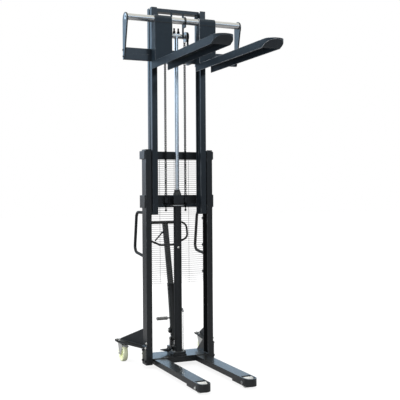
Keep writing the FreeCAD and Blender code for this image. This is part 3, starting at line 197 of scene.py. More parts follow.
FACE_WEAR = {"grain": (1.0, 1.0, 0.25), "stops": [(0.66, grey(0.0)), (0.80, grey(0.5))],
             "bare_and_highlight": (0.06, 0.065, 0.07)}
# Rounded edges: the lighter colour is worn paint and also a painted highlight, the light line an
# edge catches.
EDGE_WEAR_AND_HIGHLIGHT = {"grain": EVEN, "stops": [(0.48, grey(0.0)), (0.66, grey(0.9))],
             "bare_and_highlight": (0.16, 0.17, 0.18)}
# Fork edges: light grey over most of each rounded edge, mostly a painted highlight with some wear.
FORK_WEAR_AND_HIGHLIGHT = {"grain": EVEN, "stops": [(0.36, grey(0.0)), (0.54, grey(1.0))],
             "bare_and_highlight": (0.40, 0.42, 0.44)}
PAINTS = {  # dark and light tone, roughness, coat
    # The blue-slate tone of mast_paint and fork_paint is painted reflection: bluish light mirrored
    # by the same near-black paint as base_paint.
    "mast_paint": ((0.0045, 0.0075, 0.0105), (0.008, 0.012, 0.0165), (0.32, 0.46), 0.6),
    "fork_paint": ((0.0075, 0.014, 0.021), (0.0125, 0.022, 0.032), (0.44, 0.60), 0.0),
    "base_paint": ((0.005, 0.0055, 0.006), (0.009, 0.0095, 0.010), (0.34, 0.48), 0.5),
    "satin_paint": ((0.005, 0.0052, 0.0056), (0.009, 0.0093, 0.0098), (0.50, 0.66), 0.0),
    "lever_paint": ((0.032, 0.034, 0.034), (0.046, 0.048, 0.048), (0.46, 0.62), 0.0),
}
# The forks get the brighter edge colour, a painted highlight along their edges.
EDGE_WEARS_AND_HIGHLIGHTS = {"fork_paint": FORK_WEAR_AND_HIGHLIGHT}
EDGES = {name: paint(name + "_edge", *values, **EDGE_WEARS_AND_HIGHLIGHTS.get(name, EDGE_WEAR_AND_HIGHLIGHT))
         for name, values in PAINTS.items()}
LOOKS = {name: paint(name, *values, **FACE_WEAR) for name, values in PAINTS.items()}
LOOKS.update({
    "chrome": metal("chrome", (0.875, 0.865, 0.855), (0.95, 0.94, 0.93), (0.18, 0.28),
                    grain=(6.0, 1.0, 1.0), relief=0.02),
    "bright_steel": metal("bright_steel", grey(0.38), grey(0.56), (0.24, 0.42),
                          grain=(1.0, 8.0, 1.0)),
    "zinc": metal("zinc", (0.60, 0.59, 0.56), (0.76, 0.75, 0.72), (0.34, 0.54), metallic=0.6),
    "chain_steel": metal("chain_steel", grey(0.014), grey(0.042), (0.34, 0.55)),
    "guard_wire": soft("guard_wire", (0.085, 0.080, 0.076), (0.15, 0.14, 0.135), (0.45, 0.65),
                       pore=300.0),
    "white_nylon": soft("white_nylon", (0.66, 0.66, 0.62), (0.82, 0.82, 0.79), (0.38, 0.52),
                        pore=240.0),
    "milky_hose": soft("milky_hose", (0.88, 0.89, 0.87), (0.95, 0.96, 0.94), (0.22, 0.34),
                       pore=240.0, clear=0.82),
    "cream_nylon": soft("cream_nylon", (0.86, 0.89, 0.56), (0.96, 0.99, 0.72), (0.38, 0.55),
                        pore=240.0),
    "grip_rubber": soft("grip_rubber", (0.010, 0.010, 0.011), (0.020, 0.020, 0.021), (0.55, 0.75),
                        pore=320.0),
    "grey_rubber": soft("grey_rubber", (0.20, 0.20, 0.20), (0.30, 0.30, 0.29), (0.50, 0.68),
                        pore=320.0),
})


# CAD nodes: a rounded edge and their look

EDGE_ROUND = 0.0016
EDGE_SEGMENTS = 2
EDGE_ANGLE = math.radians(32)
FLAT_ANGLE = math.radians(0.5)
WELD_DISTANCE = 1e-6
NODE_LOOKS = {
    "left_fork": "fork_paint", "right_fork": "fork_paint", "cylinder_tube": "satin_paint",
    "oil_pipe": "milky_hose", "pump_lever": "lever_paint", "handle_tube": "lever_paint",
    "caster_brackets": "satin_paint", "grab_handles": "satin_paint", "hand_loop": "satin_paint",
}
NODE_ROUND = {"left_fork": 0.004, "right_fork": 0.004, "left_leg": 0.0026, "right_leg": 0.0026}


def soften_group():
    """Geometry nodes that weld a mesh's corners and shade it smooth."""
    tree = bpy.data.node_groups.new("soften", "GeometryNodeTree")
    tree.interface.new_socket("Geometry", in_out="INPUT", socket_type="NodeSocketGeometry")
    tree.interface.new_socket("Geometry", in_out="OUTPUT", socket_type="NodeSocketGeometry")
    start = tree.nodes.new("NodeGroupInput")
    merge = tree.nodes.new("GeometryNodeMergeByDistance")
    merge.inputs["Distance"].default_value = WELD_DISTANCE
    smooth = tree.nodes.new("GeometryNodeSetShadeSmooth")
    end = tree.nodes.new("NodeGroupOutput")
    tree.links.new(start.outputs["Geometry"], merge.inputs["Geometry"])
    tree.links.new(merge.outputs["Geometry"], smooth.inputs["Geometry"])
    tree.links.new(smooth.outputs["Geometry"], end.inputs["Geometry"])
    return tree


SOFTEN = soften_group()


def round_edges(thing, width, material):
    """Rounds sharp edges. Flat faces are joined first, because their triangles limit the bevel."""
    thing.modifiers.new("soften", "NODES").node_group = SOFTEN
    flats = thing.modifiers.new("flats", "DECIMATE")
    flats.decimate_type = "DISSOLVE"
    flats.angle_limit = FLAT_ANGLE
    bevel = thing.modifiers.new("edges", "BEVEL")
    bevel.width = width
    bevel.material = material
    bevel.segments = EDGE_SEGMENTS
    bevel.limit_method = "ANGLE"
    bevel.angle_limit = EDGE_ANGLE
    normals = thing.modifiers.new("normals", "WEIGHTED_NORMAL")
    normals.keep_sharp = False


def dress_nodes():
    for part in frame["record"]["subparts"]:
        name = part["node"]
        look = NODE_LOOKS.get(name, part["material_slot"])
        thing = NODES[name]
        thing.data.materials.clear()
        thing.data.materials.append(LOOKS[look])
        # The bevelled edges get the lighter edge material: worn paint and painted highlight.
        if look in EDGES:
            thing.data.materials.append(EDGES[look])
        last_material = len(thing.data.materials) - 1
        round_edges(thing, NODE_ROUND.get(name, EDGE_ROUND), last_material)


# Shapes

MM = 0.001
SHARP_ANGLE = math.radians(38)
SIDES = (-1, 1)
SIDE_NAMES = {-1: "left", 1: "right"}
X_AXIS = Vector((1, 0, 0))
Y_AXIS = Vector((0, 1, 0))
Z_AXIS = Vector((0, 0, 1))
STEEP = 0.9

# Shares of a fastener's height and of its radius or width
HEXAGON_PROFILE = [(0, 0.95), (0.1, 1), (0.82, 1), (1, 0.86)]
WASHER_PROFILE = [(0, 0.86), (0.7, 0.86), (1, 0.8)]
DOME_PROFILE = [(0, 1), (0.35, 1), (0.75, 0.82), (1, 0.5), (0.55, 0.46), (0.5, 0.05)]
THREAD_ROOT = 0.88
BEAD_STEP = 5.0
BEAD_WAVE = 1.9
BEAD_RIPPLE = 0.14


def at(x, y, z):
    """A point given in millimetres."""
    return Vector((x, y, z)) * MM


def at_side(place, side):
    """A place on the right, or its mirror image on the left."""
    return at(side * place[0], place[1], place[2])


def square_to(axis):
    """Two directions square to an axis and to each other."""
    other = Z_AXIS if abs(axis.z) < STEEP else X_AXIS
    first = axis.cross(other).normalized()
    return first, axis.cross(first)


def scaled(profile, height, radius):
    return [(height * along, radius * out) for along, out in profile]


def both_ways(half):
    """A profile and its mirror image along the axis."""
    return half + [(-along, radius) for along, radius in reversed(half)]


def ring_path(centre, first, second, radius, start=0.0, end=360.0, count=48):
    angles = [math.radians(start + (end - start) * i / count) for i in range(count + 1)]
    return [centre + (first * math.cos(a) + second * math.sin(a)) * radius * MM for a in angles]


def span(node):
    """A CAD node's lowest and highest corner in millimetres, to a thousandth."""
    return [Vector([round(value / MM, 3) for value in corner]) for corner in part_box(node)]


def middle(node):
    low, high = span(node)
    return (low + high) / 2


class Shape:
    """Parts that are gathered into one piece. Sizes are in millimetres."""

    def __init__(self):
        self.mesh = bmesh.new()

    def skin(self, rows, closed=False):
        """A surface over rows of points, each row a closed loop. Open ends are filled."""
        loops = [[self.mesh.verts.new(point) for point in row] for row in rows]
        count = len(loops[0])
        pairs = list(zip(loops, loops[1:]))
        if closed:
            pairs.append((loops[-1], loops[0]))
        for one, two in pairs:
            for i in range(count):
                j = (i + 1) % count
                self.mesh.faces.new((one[i], one[j], two[j], two[i]))
        if not closed:
            self.mesh.faces.new(loops[0][::-1])
            self.mesh.faces.new(loops[-1])

    def turn(self, profile, base, axis, steps, closed=False):
        """A profile of (distance along the axis, radius) turned about the axis."""
        axis = Vector(axis).normalized()
        first, second = square_to(axis)
        angles = [2 * math.pi * i / steps for i in range(steps)]
        rows = []
        for along, radius in profile:
            centre = base + axis * along * MM
            rows.append([centre + (first * math.cos(a) + second * math.sin(a)) * radius * MM
                         for a in angles])
        self.skin(rows, closed)

    def sweep(self, path, radius, steps):
        """A round bar along points. The radius is a number or a function of the point's index."""
        size = radius if callable(radius) else lambda i: radius
        angles = [2 * math.pi * k / steps for k in range(steps)]
        rows = []
        side = None
        for i, point in enumerate(path):
            ahead = path[min(i + 1, len(path) - 1)] - path[max(i - 1, 0)]
            ahead.normalize()
            if side is None:
                side = square_to(ahead)[0]
            side = (side - ahead * side.dot(ahead)).normalized()
            up = ahead.cross(side)
            rows.append([point + (side * math.cos(a) + up * math.sin(a)) * size(i) * MM
                         for a in angles])
        self.skin(rows)

    def slab(self, outline, thickness):
        """A flat outline of points, made thick along a direction."""
        self.skin([outline, [point + thickness for point in outline]])

    def block(self, low, high):
        (x0, y0, z0), (x1, y1, z1) = low, high
        floor = [at(x0, y0, z0), at(x1, y0, z0), at(x1, y1, z0), at(x0, y1, z0)]
        self.slab(floor, at(0, 0, z1 - z0))

    def hexagon(self, base, axis, flats, height):
        """A nut or the head of a bolt."""
        corner = flats / math.sqrt(3)
        self.turn(scaled(HEXAGON_PROFILE, height, corner), base, axis, steps=6)

    def bolt(self, base, axis, flats, height, washer=1.6):
        """A hexagon head on its washer, standing on a face."""
        self.turn(scaled(WASHER_PROFILE, washer, flats), base, axis, steps=24)
        self.hexagon(base + Vector(axis) * washer * MM, axis, flats, height - washer)

    def dome(self, base, axis, radius, height):
        """A round screw head with a socket."""
        self.turn(scaled(DOME_PROFILE, height, radius), base, axis, steps=20)

    def thread(self, base, axis, radius, length, pitch=2.0):
        """A threaded rod."""
        crests = int(length / pitch * 2)
        profile = [(length * i / crests, radius * (1.0 if i % 2 else THREAD_ROOT))
                   for i in range(crests + 1)]
        self.turn(profile, base, axis, steps=16)

    def bead(self, path, size):
        """A weld bead with its ripples."""
        points = []
        for one, two in zip(path, path[1:]):
            count = max(2, int((two - one).length / (BEAD_STEP * MM)))
            points += [one.lerp(two, i / count) for i in range(count)]
        points.append(path[-1])

        def radius(i):
            return size * (1 - BEAD_RIPPLE + BEAD_RIPPLE * math.sin(BEAD_WAVE * i))

        self.sweep(points, radius, steps=6)

    def piece(self, name, look, body, *nodes, slot=None):
        """The finished piece, riding on a body and standing for CAD nodes."""
        bmesh.ops.recalc_face_normals(self.mesh, faces=self.mesh.faces)
        mesh = bpy.data.meshes.new(name)
        self.mesh.to_mesh(mesh)
        self.mesh.free()
        mesh.polygons.foreach_set("use_smooth", [True] * len(mesh.polygons))
        mesh.set_sharp_from_angle(angle=SHARP_ANGLE)
        mesh.materials.append(LOOKS[look])
        thing = bpy.data.objects.new(name, mesh)
        bpy.context.collection.objects.link(thing)
        if nodes:
            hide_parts(*nodes)
        if body:
            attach(thing, body)
        return thing


# Lift chains

CHAIN_X = 91
CHAIN_PITCH = 15.875
PULLEY_Y, PULLEY_Z = middle("crosshead").yz
PULLEY_PITCH = 36
REAR_CHAIN_Y = PULLEY_Y + PULLEY_PITCH
FRONT_CHAIN_Y = PULLEY_Y - PULLEY_PITCH
RUN_START = 2  # links below the pulley's middle
REAR_RUN_LOW = span("rear_chains")[0].z
LUG_TOP = span("front_chains")[0].z
LINK_LOBE = 5.8
LINK_WAIST = 4.6
LINK_PLATE = 2.2
LINK_OFFSETS = ((-7.1, 7.1), (-4.8, 4.8))
FRONT_OFFSETS = ((-7.1, -2.4, 2.4, 7.1), (-4.8, 0, 4.8))  # no gaps where the run is stretched
LINK_PIN = [(-8.4, 2.0), (-8.2, 2.6), (8.2, 2.6), (8.4, 2.0)]
LINK_ROLLER = [(-3.6, 5.4), (-3, 5.8), (3, 5.8), (3.6, 5.4)]


def link(shape, one, two, offsets):
    """The plates between two joints of a chain, with the roller and pin of the first joint."""
    along = (two - one).normalized()
    deep = X_AXIS.cross(along)
    outline = []
    for end in (1, -1):
        for degrees in range(-90, 91, 45):
            angle = math.radians(degrees)
            outline.append((end * (CHAIN_PITCH / 2 + LINK_LOBE * math.cos(angle)),
                            end * LINK_LOBE * math.sin(angle)))
        outline.append((0, end * LINK_WAIST))
    for offset in offsets:
        start = (one + two) / 2 + X_AXIS * (offset - LINK_PLATE / 2) * MM
        face = [start + (along * u + deep * v) * MM for u, v in outline]
        shape.slab(face, X_AXIS * LINK_PLATE * MM)
    shape.turn(LINK_PIN, one, X_AXIS, steps=8)
    shape.turn(LINK_ROLLER, one, X_AXIS, steps=12)


def links(shape, joints, offsets=LINK_OFFSETS):
    for i, (one, two) in enumerate(zip(joints, joints[1:])):
        link(shape, one, two, offsets[i % 2])


def straight_joints(x, y, low):
    """Joints from below the wrap's last link down to a run's end."""
    count = int((PULLEY_Z - low) / CHAIN_PITCH)
    return [at(x, y, PULLEY_Z - CHAIN_PITCH * i) for i in range(RUN_START, count + 1)]


def chains():
    rear, wrap, front = Shape(), Shape(), Shape()
    step = 2 * math.asin(CHAIN_PITCH / 2 / PULLEY_PITCH)
    around = [(PULLEY_PITCH * math.cos(step * i), PULLEY_PITCH * math.sin(step * i))
              for i in range(int(math.pi / step) + 1)]
    over = [(PULLEY_PITCH, -CHAIN_PITCH)] + around + [(-PULLEY_PITCH, -CHAIN_PITCH)]
    for side in SIDES:
        x = side * CHAIN_X
        links(rear, straight_joints(x, REAR_CHAIN_Y, REAR_RUN_LOW))
        links(front, straight_joints(x, FRONT_CHAIN_Y, LUG_TOP), FRONT_OFFSETS)
        links(wrap, [at(x, PULLEY_Y + y, PULLEY_Z + z) for y, z in over])
    rear_runs = rear.piece("rear_chain_runs", "chain_steel", "frame", "rear_chains")
    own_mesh(rear_runs)
    wrap.piece("chain_wraps", "chain_steel", "inner_mast")
    front_runs = front.piece("front_chain_runs", "chain_steel", None, "front_chains")
    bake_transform(front_runs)


# Ends of the chains

ANCHOR_HALF = 12
ANCHOR_FRONT, ANCHOR_REAR = [corner.y for corner in span("chain_anchors")]
ANCHOR_LOW = 1400
ANCHOR_HIGH = 1446
ANCHOR_BOLT_END = 1325
ANCHOR_BOLT_RADIUS = 5
ANCHOR_NUTS = (1330, 1378)
ANCHOR_WASHER_FACE = 1396
ANCHOR_WASHER = [(0, 15), (3, 15), (4, 13)]
EAR_PLACES = (-10.2, 7.2)
EAR_PLATE = 3
EAR_HALF = 7
ANCHOR_EAR = 28
LUG_EAR = 24
LUG_PIN_RISE = 15.6
LUG_PIN = [(-13, 3.6), (-12, 4.2), (12, 4.2), (13, 3.6)]
PULLEY_SEAL = [(12.2, 12), (12.2, 24), (13.6, 23), (13.6, 13)]


def ear(shape, x, y, low, height):
    shape.block((x, y - EAR_HALF, low), (x + EAR_PLATE, y + EAR_HALF, low + height))


def chain_ends():
    blocks, bolts, lugs, seals = Shape(), Shape(), Shape(), Shape()
    for side in SIDES:
        x = side * CHAIN_X
        blocks.block((x - ANCHOR_HALF, ANCHOR_FRONT, ANCHOR_LOW),
                     (x + ANCHOR_HALF, ANCHOR_REAR, ANCHOR_HIGH))
        bolts.thread(at(x, REAR_CHAIN_Y, ANCHOR_BOLT_END), Z_AXIS, ANCHOR_BOLT_RADIUS,
                     ANCHOR_LOW - ANCHOR_BOLT_END)
        for low in ANCHOR_NUTS:
            bolts.hexagon(at(x, REAR_CHAIN_Y, low), Z_AXIS, flats=18, height=11)
        bolts.turn(ANCHOR_WASHER, at(x, REAR_CHAIN_Y, ANCHOR_WASHER_FACE), -Z_AXIS, steps=24)
        for place in EAR_PLACES:
            ear(blocks, x + place, REAR_CHAIN_Y, ANCHOR_HIGH, ANCHOR_EAR)
            ear(lugs, x + place, FRONT_CHAIN_Y, LUG_TOP, LUG_EAR)
        lugs.turn(LUG_PIN, at(x, FRONT_CHAIN_Y, LUG_TOP + LUG_PIN_RISE), X_AXIS, steps=12)
        seals.turn(PULLEY_SEAL, at(x, PULLEY_Y, PULLEY_Z), X_AXIS * side, steps=28, closed=True)
    blocks.piece("chain_anchor_blocks", "base_paint", "frame", "chain_anchors")
    bolts.piece("chain_anchor_bolts", "chain_steel", "frame")
    lugs.piece("chain_clevises", "bright_steel", "carriage")
    seals.piece("pulley_seals", "base_paint", "chain_pulleys")


# Operator guard

WIRE_RADIUS = 1.5
WIRE_PITCH = 18
WIRE_COLUMNS = 4
WIRE_STEPS = 8
GUARD_SCREW_X = 267
GUARD_SCREW_HEIGHTS = (793, 1027, 1261)


def guard_wires():
    shape = Shape()
    low, high = span("guard_mesh")
    left, right = low.x + WIRE_RADIUS, high.x - WIRE_RADIUS
    bottom, top = low.z + WIRE_RADIUS, high.z - WIRE_RADIUS
    upright_y, level_y = low.y + WIRE_RADIUS, high.y + WIRE_RADIUS
    for column in range(WIRE_COLUMNS + 1):
        x = left + (right - left) * column / WIRE_COLUMNS
        shape.sweep([at(x, upright_y, bottom), at(x, upright_y, top)], WIRE_RADIUS, WIRE_STEPS)
    for row in range(round((top - bottom) / WIRE_PITCH) + 1):
        z = bottom + WIRE_PITCH * row
        shape.sweep([at(left, level_y, z), at(right, level_y, z)], WIRE_RADIUS, WIRE_STEPS)
    shape.piece("guard_wires", "guard_wire", "frame", "guard_mesh")
    screws = Shape()
    for side in SIDES:
        for z in GUARD_SCREW_HEIGHTS:
            place = at(side * GUARD_SCREW_X, high.y + 2 * WIRE_RADIUS, z)
            screws.bolt(place, Y_AXIS, flats=10, height=6)
    screws.piece("guard_screws", "zinc", "frame")


# Wheels

LOAD_WHEEL_PLACE = middle("right_load_wheel")
LOAD_WHEEL_HALF = [
    (-35, 10.6), (-35, 18), (-32, 20), (-32, 30), (-35, 32), (-35, 36.5), (-34.2, 38.6), (-32, 40)]
CASTER_WHEEL_PLACE = (385, 839, 75)
CASTER_WHEEL_HALF = [
    (-22.5, 6.7), (-22.5, 15), (-21, 17.5), (-9, 20), (-8, 23), (-8, 50), (-10, 53), (-18.5, 56),
    (-20.5, 58), (-21.5, 64), (-22.5, 67), (-22, 70), (-19.5, 72.6), (-14, 74.2), (-7, 75)]
CASTER_RIBS = 8
RIB_INNER = 18
RIB_OUTER = 57
RIB_HALF = 2.2
RIB_WIDTH = 32


def wheels():
    for side, name in SIDE_NAMES.items():
        load_wheel, caster_wheel = name + "_load_wheel", name + "_caster_wheel"
        roller, tyre = Shape(), Shape()
        centre = at_side(LOAD_WHEEL_PLACE, side)
        roller.turn(both_ways(LOAD_WHEEL_HALF), centre, X_AXIS, steps=64, closed=True)
        roller.piece(name + "_load_roller", "white_nylon", load_wheel, load_wheel)
        centre = at_side(CASTER_WHEEL_PLACE, side)
        tyre.turn(both_ways(CASTER_WHEEL_HALF), centre, X_AXIS, steps=72, closed=True)
        for rib in range(CASTER_RIBS):
            angle = 2 * math.pi * rib / CASTER_RIBS
            out = Vector((0, math.cos(angle), math.sin(angle)))
            across = out.cross(X_AXIS) * RIB_HALF
            corners = [out * RIB_INNER - across, out * RIB_OUTER - across,
                       out * RIB_OUTER + across, out * RIB_INNER + across]
            outline = [centre + (corner - X_AXIS * RIB_WIDTH / 2) * MM for corner in corners]
            tyre.slab(outline, X_AXIS * RIB_WIDTH * MM)
        tyre.piece(name + "_caster_tyre", "cream_nylon", caster_wheel, caster_wheel)


# Casters and their brackets

BRACKET_TOP = 185
BRACKET_BOTTOM = 177
BRACKET_EDGE = [(314, 446), (434, 839), (434, 925)]
BRACKET_LIP = 10
LIP_PLATE = 5
CASTER_SWIVEL = (385, 874)
PLATE_BOLTS = (-33, 33)
RACE_COVER = [(169, 22), (169, 40), (165, 40), (163.6, 37), (163.6, 22)]
RACE_RING = [(157, 33), (161.5, 33), (163, 31), (163, 24), (157, 24)]
CASTER_FORK_HALF = 28.5
AXLE_WASHER = [(0, 14), (2.0, 14), (2.6, 12.5)]
AXLE_WASHER_FACE = 2.6
AXLE_TIP = [(10, 6), (13, 6), (14, 5)]
BRAKE_HINGE_Y = 797
BRAKE_HINGE_Z = 152
BRAKE_SLOPE = 5
BRAKE_TREADS = (750, 758, 766, 774)
BRAKE_HALF = 19
BRAKE_TREAD_WIDTH = 4
BRAKE_TREAD_DEPTH = 1
BRAKE_TREAD_HEIGHT = 2.5


def bracket_details():
    lips, bolts, covers = Shape(), Shape(), Shape()
    for side in SIDES:
        for (x0, y0), (x1, y1) in zip(BRACKET_EDGE, BRACKET_EDGE[1:]):
            start, end = Vector((x0, y0, 0)), Vector((x1, y1, 0))
            run = (end - start).normalized() * LIP_PLATE
            inward = Vector((-run.y, run.x, 0))
            corners = [start, end, end + inward, start + inward]
            lips.slab([at(side * c.x, c.y, BRACKET_BOTTOM - BRACKET_LIP) for c in corners],
                      Z_AXIS * BRACKET_LIP * MM)
        x, y = CASTER_SWIVEL
        for dx in PLATE_BOLTS:
            for dy in PLATE_BOLTS:
                bolts.bolt(at(side * (x + dx), y + dy, BRACKET_TOP), Z_AXIS, flats=13, height=8)
        covers.turn(RACE_COVER, at(side * x, y, 0), Z_AXIS, steps=40, closed=True)
    lips.piece("bracket_lips", "base_paint", "frame")
    bolts.piece("caster_plate_bolts", "zinc", "frame")
    covers.piece("caster_race_covers", "zinc", "frame")


def caster_details():
    for side, name in SIDE_NAMES.items():
        nuts = Shape()
        x, y, z = CASTER_WHEEL_PLACE
        for face in SIDES:
            base = at(side * x + face * CASTER_FORK_HALF, y, z)
            out = X_AXIS * face
            nuts.turn(AXLE_WASHER, base, out, steps=28)
            nuts.hexagon(base + out * AXLE_WASHER_FACE * MM, out, flats=19, height=8)
            nuts.turn(AXLE_TIP, base, out, steps=16)
        swivel_x, swivel_y = CASTER_SWIVEL
        nuts.turn(RACE_RING, at(side * swivel_x, swivel_y, 0), Z_AXIS, steps=40, closed=True)
        nuts.piece(name + "_caster_nuts", "zinc", name + "_caster_fork")


def brake_details():
    for side, name in SIDE_NAMES.items():
        treads = Shape()
        x = side * CASTER_WHEEL_PLACE[0]
        for y in BRAKE_TREADS:
            z = BRAKE_HINGE_Z - (BRAKE_HINGE_Y - y) / BRAKE_SLOPE
            treads.block((x - BRAKE_HALF, y, z - BRAKE_TREAD_DEPTH),
                         (x + BRAKE_HALF, y + BRAKE_TREAD_WIDTH, z + BRAKE_TREAD_HEIGHT))
        treads.piece(name + "_brake_treads", "zinc", name + "_brake_pedal")


# Cylinder

CYLINDER_Y = middle("cylinder_tube").y
TUBE_RADIUS = 34
CYLINDER_FOOT_TOP = 97
SHOE_TOP = 121
SHOE_HALF = 58
SHOE_FRONT = 449
SHOE_REAR = 531
SHOE_CORNER = 9
SHOE_ROWS = ((CYLINDER_FOOT_TOP, 0), (SHOE_TOP - 4, 0), (SHOE_TOP, 3))  # height, inset
SHOE_BOLT_X = (-46, 46)
SHOE_BOLT_Y = (462, 518)
GLAND = [(1440, 17.5), (1440, 33), (1443, 34.6), (1475, 34.6), (1479, 33.4), (1494, 26.6),
         (1496, 25), (1496, 17.5)]
WIPER = [(1496, 17.4), (1496, 24.6), (1499, 25), (1502, 24.2), (1505, 25), (1508, 24.4),
         (1510, 22.4), (1510, 17.4)]
PORT_DEPTH = 2
BLEED_HEIGHT = 1016
BLEED_SIDE = (-0.18, -0.98, 0)
BLEED_SCREW = [(TUBE_RADIUS - PORT_DEPTH, 8.5), (TUBE_RADIUS + 2, 8.5), (TUBE_RADIUS + 3, 7),
               (TUBE_RADIUS + 8, 6.2), (TUBE_RADIUS + 9.5, 4.5)]
PIPE_X = 46
PIPE_TOP = 480
PIPE_PORT = [(0, 12), (5, 12), (6, 10.5)]
PIPE_PORT_FACE = 6
PIPE_NUT_DROP = 12
PUMP_PORT_Y = 566
PUMP_PORT_Z = 112
CLAMP_HEIGHT = 1376
CLAMP_HALF = 58
CLAMP_BULGE = 0.85
CLAMP_REAR = 550
CLAMP_RADIUS = 5.5


def cylinder_shoe():
    """The cast block round the tube's lower end, on the foot plate."""
    shoe = Shape()
    rows = []
    for z, inset in SHOE_ROWS:
        half, front, rear = SHOE_HALF - inset, SHOE_FRONT + inset, SHOE_REAR - inset
        cut = SHOE_CORNER
        corners = (
            (-half, front + cut), (cut - half, front), (half - cut, front), (half, front + cut),
            (half, rear - cut), (half - cut, rear), (cut - half, rear), (-half, rear - cut))
        rows.append([at(x, y, z) for x, y in corners])
    shoe.skin(rows)
    thing = shoe.piece("cylinder_shoe", "base_paint", "frame")
    # The bevelled edges get the lighter edge material: worn paint and painted highlight.
    thing.data.materials.append(EDGES["base_paint"])
    round_edges(thing, EDGE_ROUND, material=1)


def cylinder_details():
    foot = at(0, CYLINDER_Y, 0)
    gland = Shape()
    gland.turn(GLAND, foot, Z_AXIS, steps=56, closed=True)
    # The dome is base paint but gets the lighter lever_paint: a painted highlight over the dome.
    gland.piece("gland_dome", "lever_paint", "frame", "cylinder_gland", slot="base_paint")
    wiper = Shape()
    wiper.turn(WIPER, foot, Z_AXIS, steps=48, closed=True)
    wiper.piece("rod_wiper", "grip_rubber", "frame")
    bleed = Shape()
    bleed.turn(BLEED_SCREW, at(0, CYLINDER_Y, BLEED_HEIGHT), BLEED_SIDE, steps=24)
    bleed.piece("bleed_screw", "white_nylon", "frame")
    fittings = Shape()
    port = at(TUBE_RADIUS - PORT_DEPTH, CYLINDER_Y, PIPE_TOP)
    fittings.turn(PIPE_PORT, port, X_AXIS, steps=28)
    fittings.hexagon(port + X_AXIS * PIPE_PORT_FACE * MM, X_AXIS, flats=15, height=9)
    fittings.hexagon(at(PIPE_X, CYLINDER_Y, PIPE_TOP - PIPE_NUT_DROP), -Z_AXIS, flats=13, height=14)
    fittings.hexagon(at(PIPE_X, PUMP_PORT_Y, PUMP_PORT_Z), -Y_AXIS, flats=13, height=12)
    bow = ring_path(at(0, CYLINDER_Y, CLAMP_HEIGHT), X_AXIS, Y_AXIS * CLAMP_BULGE, CLAMP_HALF,
                    start=180, end=360, count=28)
    ends = [at(side * CLAMP_HALF, CLAMP_REAR, CLAMP_HEIGHT) for side in SIDES]
    fittings.sweep([ends[0]] + bow + [ends[1]], CLAMP_RADIUS, steps=12)
    for x in SHOE_BOLT_X:
        for y in SHOE_BOLT_Y:
            fittings.bolt(at(x, y, SHOE_TOP), Z_AXIS, flats=15, height=9)
    fittings.piece("cylinder_fittings", "bright_steel", "frame")


# Hand pump

PLUNGER_Y = middle("plunger").y
SPRING_LOW = 145.3
SPRING_HIGH = 213.4
SPRING_RADIUS = 17.5
SPRING_WIRE = 1.8
SPRING_TURNS = 6
SPRING_FLAT_TURNS = 0.6
SPRING_STEPS = 32
SPRING_SEAT = [(145, 22), (145, 27), (149, 27), (150.5, 25.5), (150.5, 22)]
PUMP_BOLTS = (  # place, direction, width over the flats, height
    ((40, 615, 118), X_AXIS, 17, 10),
    ((40, 640, 104), X_AXIS, 13, 8),
    ((0, 656, 122), Y_AXIS, 22, 14),
    ((-24, 656, 104), Y_AXIS, 13, 9),
)
PIVOT_PLACE = (0, 584, 215)
PIVOT_RING = [(43, 11), (44.6, 11), (44.6, 7), (43, 7)]
KNUCKLE_PLACE = (0, 597, 285)
KNUCKLE = [(27, 25), (38, 25), (41, 22), (46, 20), (47, 18)]
KNUCKLE_FACE = 47
LEVER_HALF = 27.5
LEVER_BOLTS = (  # y, z, width over the flats, height
    (646, 640, 13, 7), (655, 672, 13, 7), (589, 252, 11, 6), (601, 318, 11, 6))
PEDAL_Y = 584
PEDAL_TIP = span("release_pedal")[0].x
PEDAL_LENGTH = 80
PEDAL_TIP_HALF = 5
PEDAL_FLARE = 14
PEDAL_FACE = (125.6, 128)
TREAD_COUNT = 5
TREAD_START = -122
TREAD_PITCH = 13
TREAD_WIDTH = 5
WEB_OUTLINE = ((-128, 121.5), (-58, 121.5), (-58, 98))
WEB_PLACES = (570, 592)
WEB_PLATE = 6
LEVER_TIP_INSET = 4
LEVER_TIP_SLOPE = (-0.68, 0, -0.73)
LEVER_TIP = [(-24, 4), (-22, 6), (-4, 6.4), (1, 5.6), (4, 3.2)]


def spring():
    shape = Shape()
    steps = SPRING_STEPS * SPRING_TURNS
    low, high = SPRING_LOW + SPRING_WIRE, SPRING_HIGH - SPRING_WIRE
    path = []
    for i in range(steps + 1):
        turns = SPRING_TURNS * i / steps
        angle = 2 * math.pi * SPRING_TURNS * i / steps
        rise = (turns - SPRING_FLAT_TURNS) / (SPRING_TURNS - 2 * SPRING_FLAT_TURNS)
        path.append(at(SPRING_RADIUS * math.cos(angle), PLUNGER_Y + SPRING_RADIUS * math.sin(angle),
                       low + (high - low) * min(max(rise, 0), 1)))
    shape.sweep(path, SPRING_WIRE, steps=10)
    coil = shape.piece("plunger_coil", "bright_steel", "frame", "plunger_spring")
    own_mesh(coil)


def pump_details():
    plugs = Shape()
    plugs.turn(SPRING_SEAT, at(0, PLUNGER_Y, 0), Z_AXIS, steps=36, closed=True)
    for place, axis, flats, height in PUMP_BOLTS:
        plugs.bolt(at(*place), axis, flats, height)
    for face in SIDES:
        plugs.turn(PIVOT_RING, at(*PIVOT_PLACE), X_AXIS * face, steps=24, closed=True)
    plugs.piece("pump_plugs", "zinc", "frame")
    knuckle, pins = Shape(), Shape()
    for face in SIDES:
        out = X_AXIS * face
        knuckle.turn(KNUCKLE, at(*KNUCKLE_PLACE), out, steps=32)
        for y, z, flats, height in LEVER_BOLTS:
            knuckle.bolt(at(face * LEVER_HALF, y, z), out, flats, height)
        pins.dome(at(face * KNUCKLE_FACE, *KNUCKLE_PLACE[1:]), out, radius=10, height=6)
    knuckle.piece("lever_knuckle", "base_paint", "pump_handle")
    pins.piece("lever_pins", "zinc", "pump_handle")


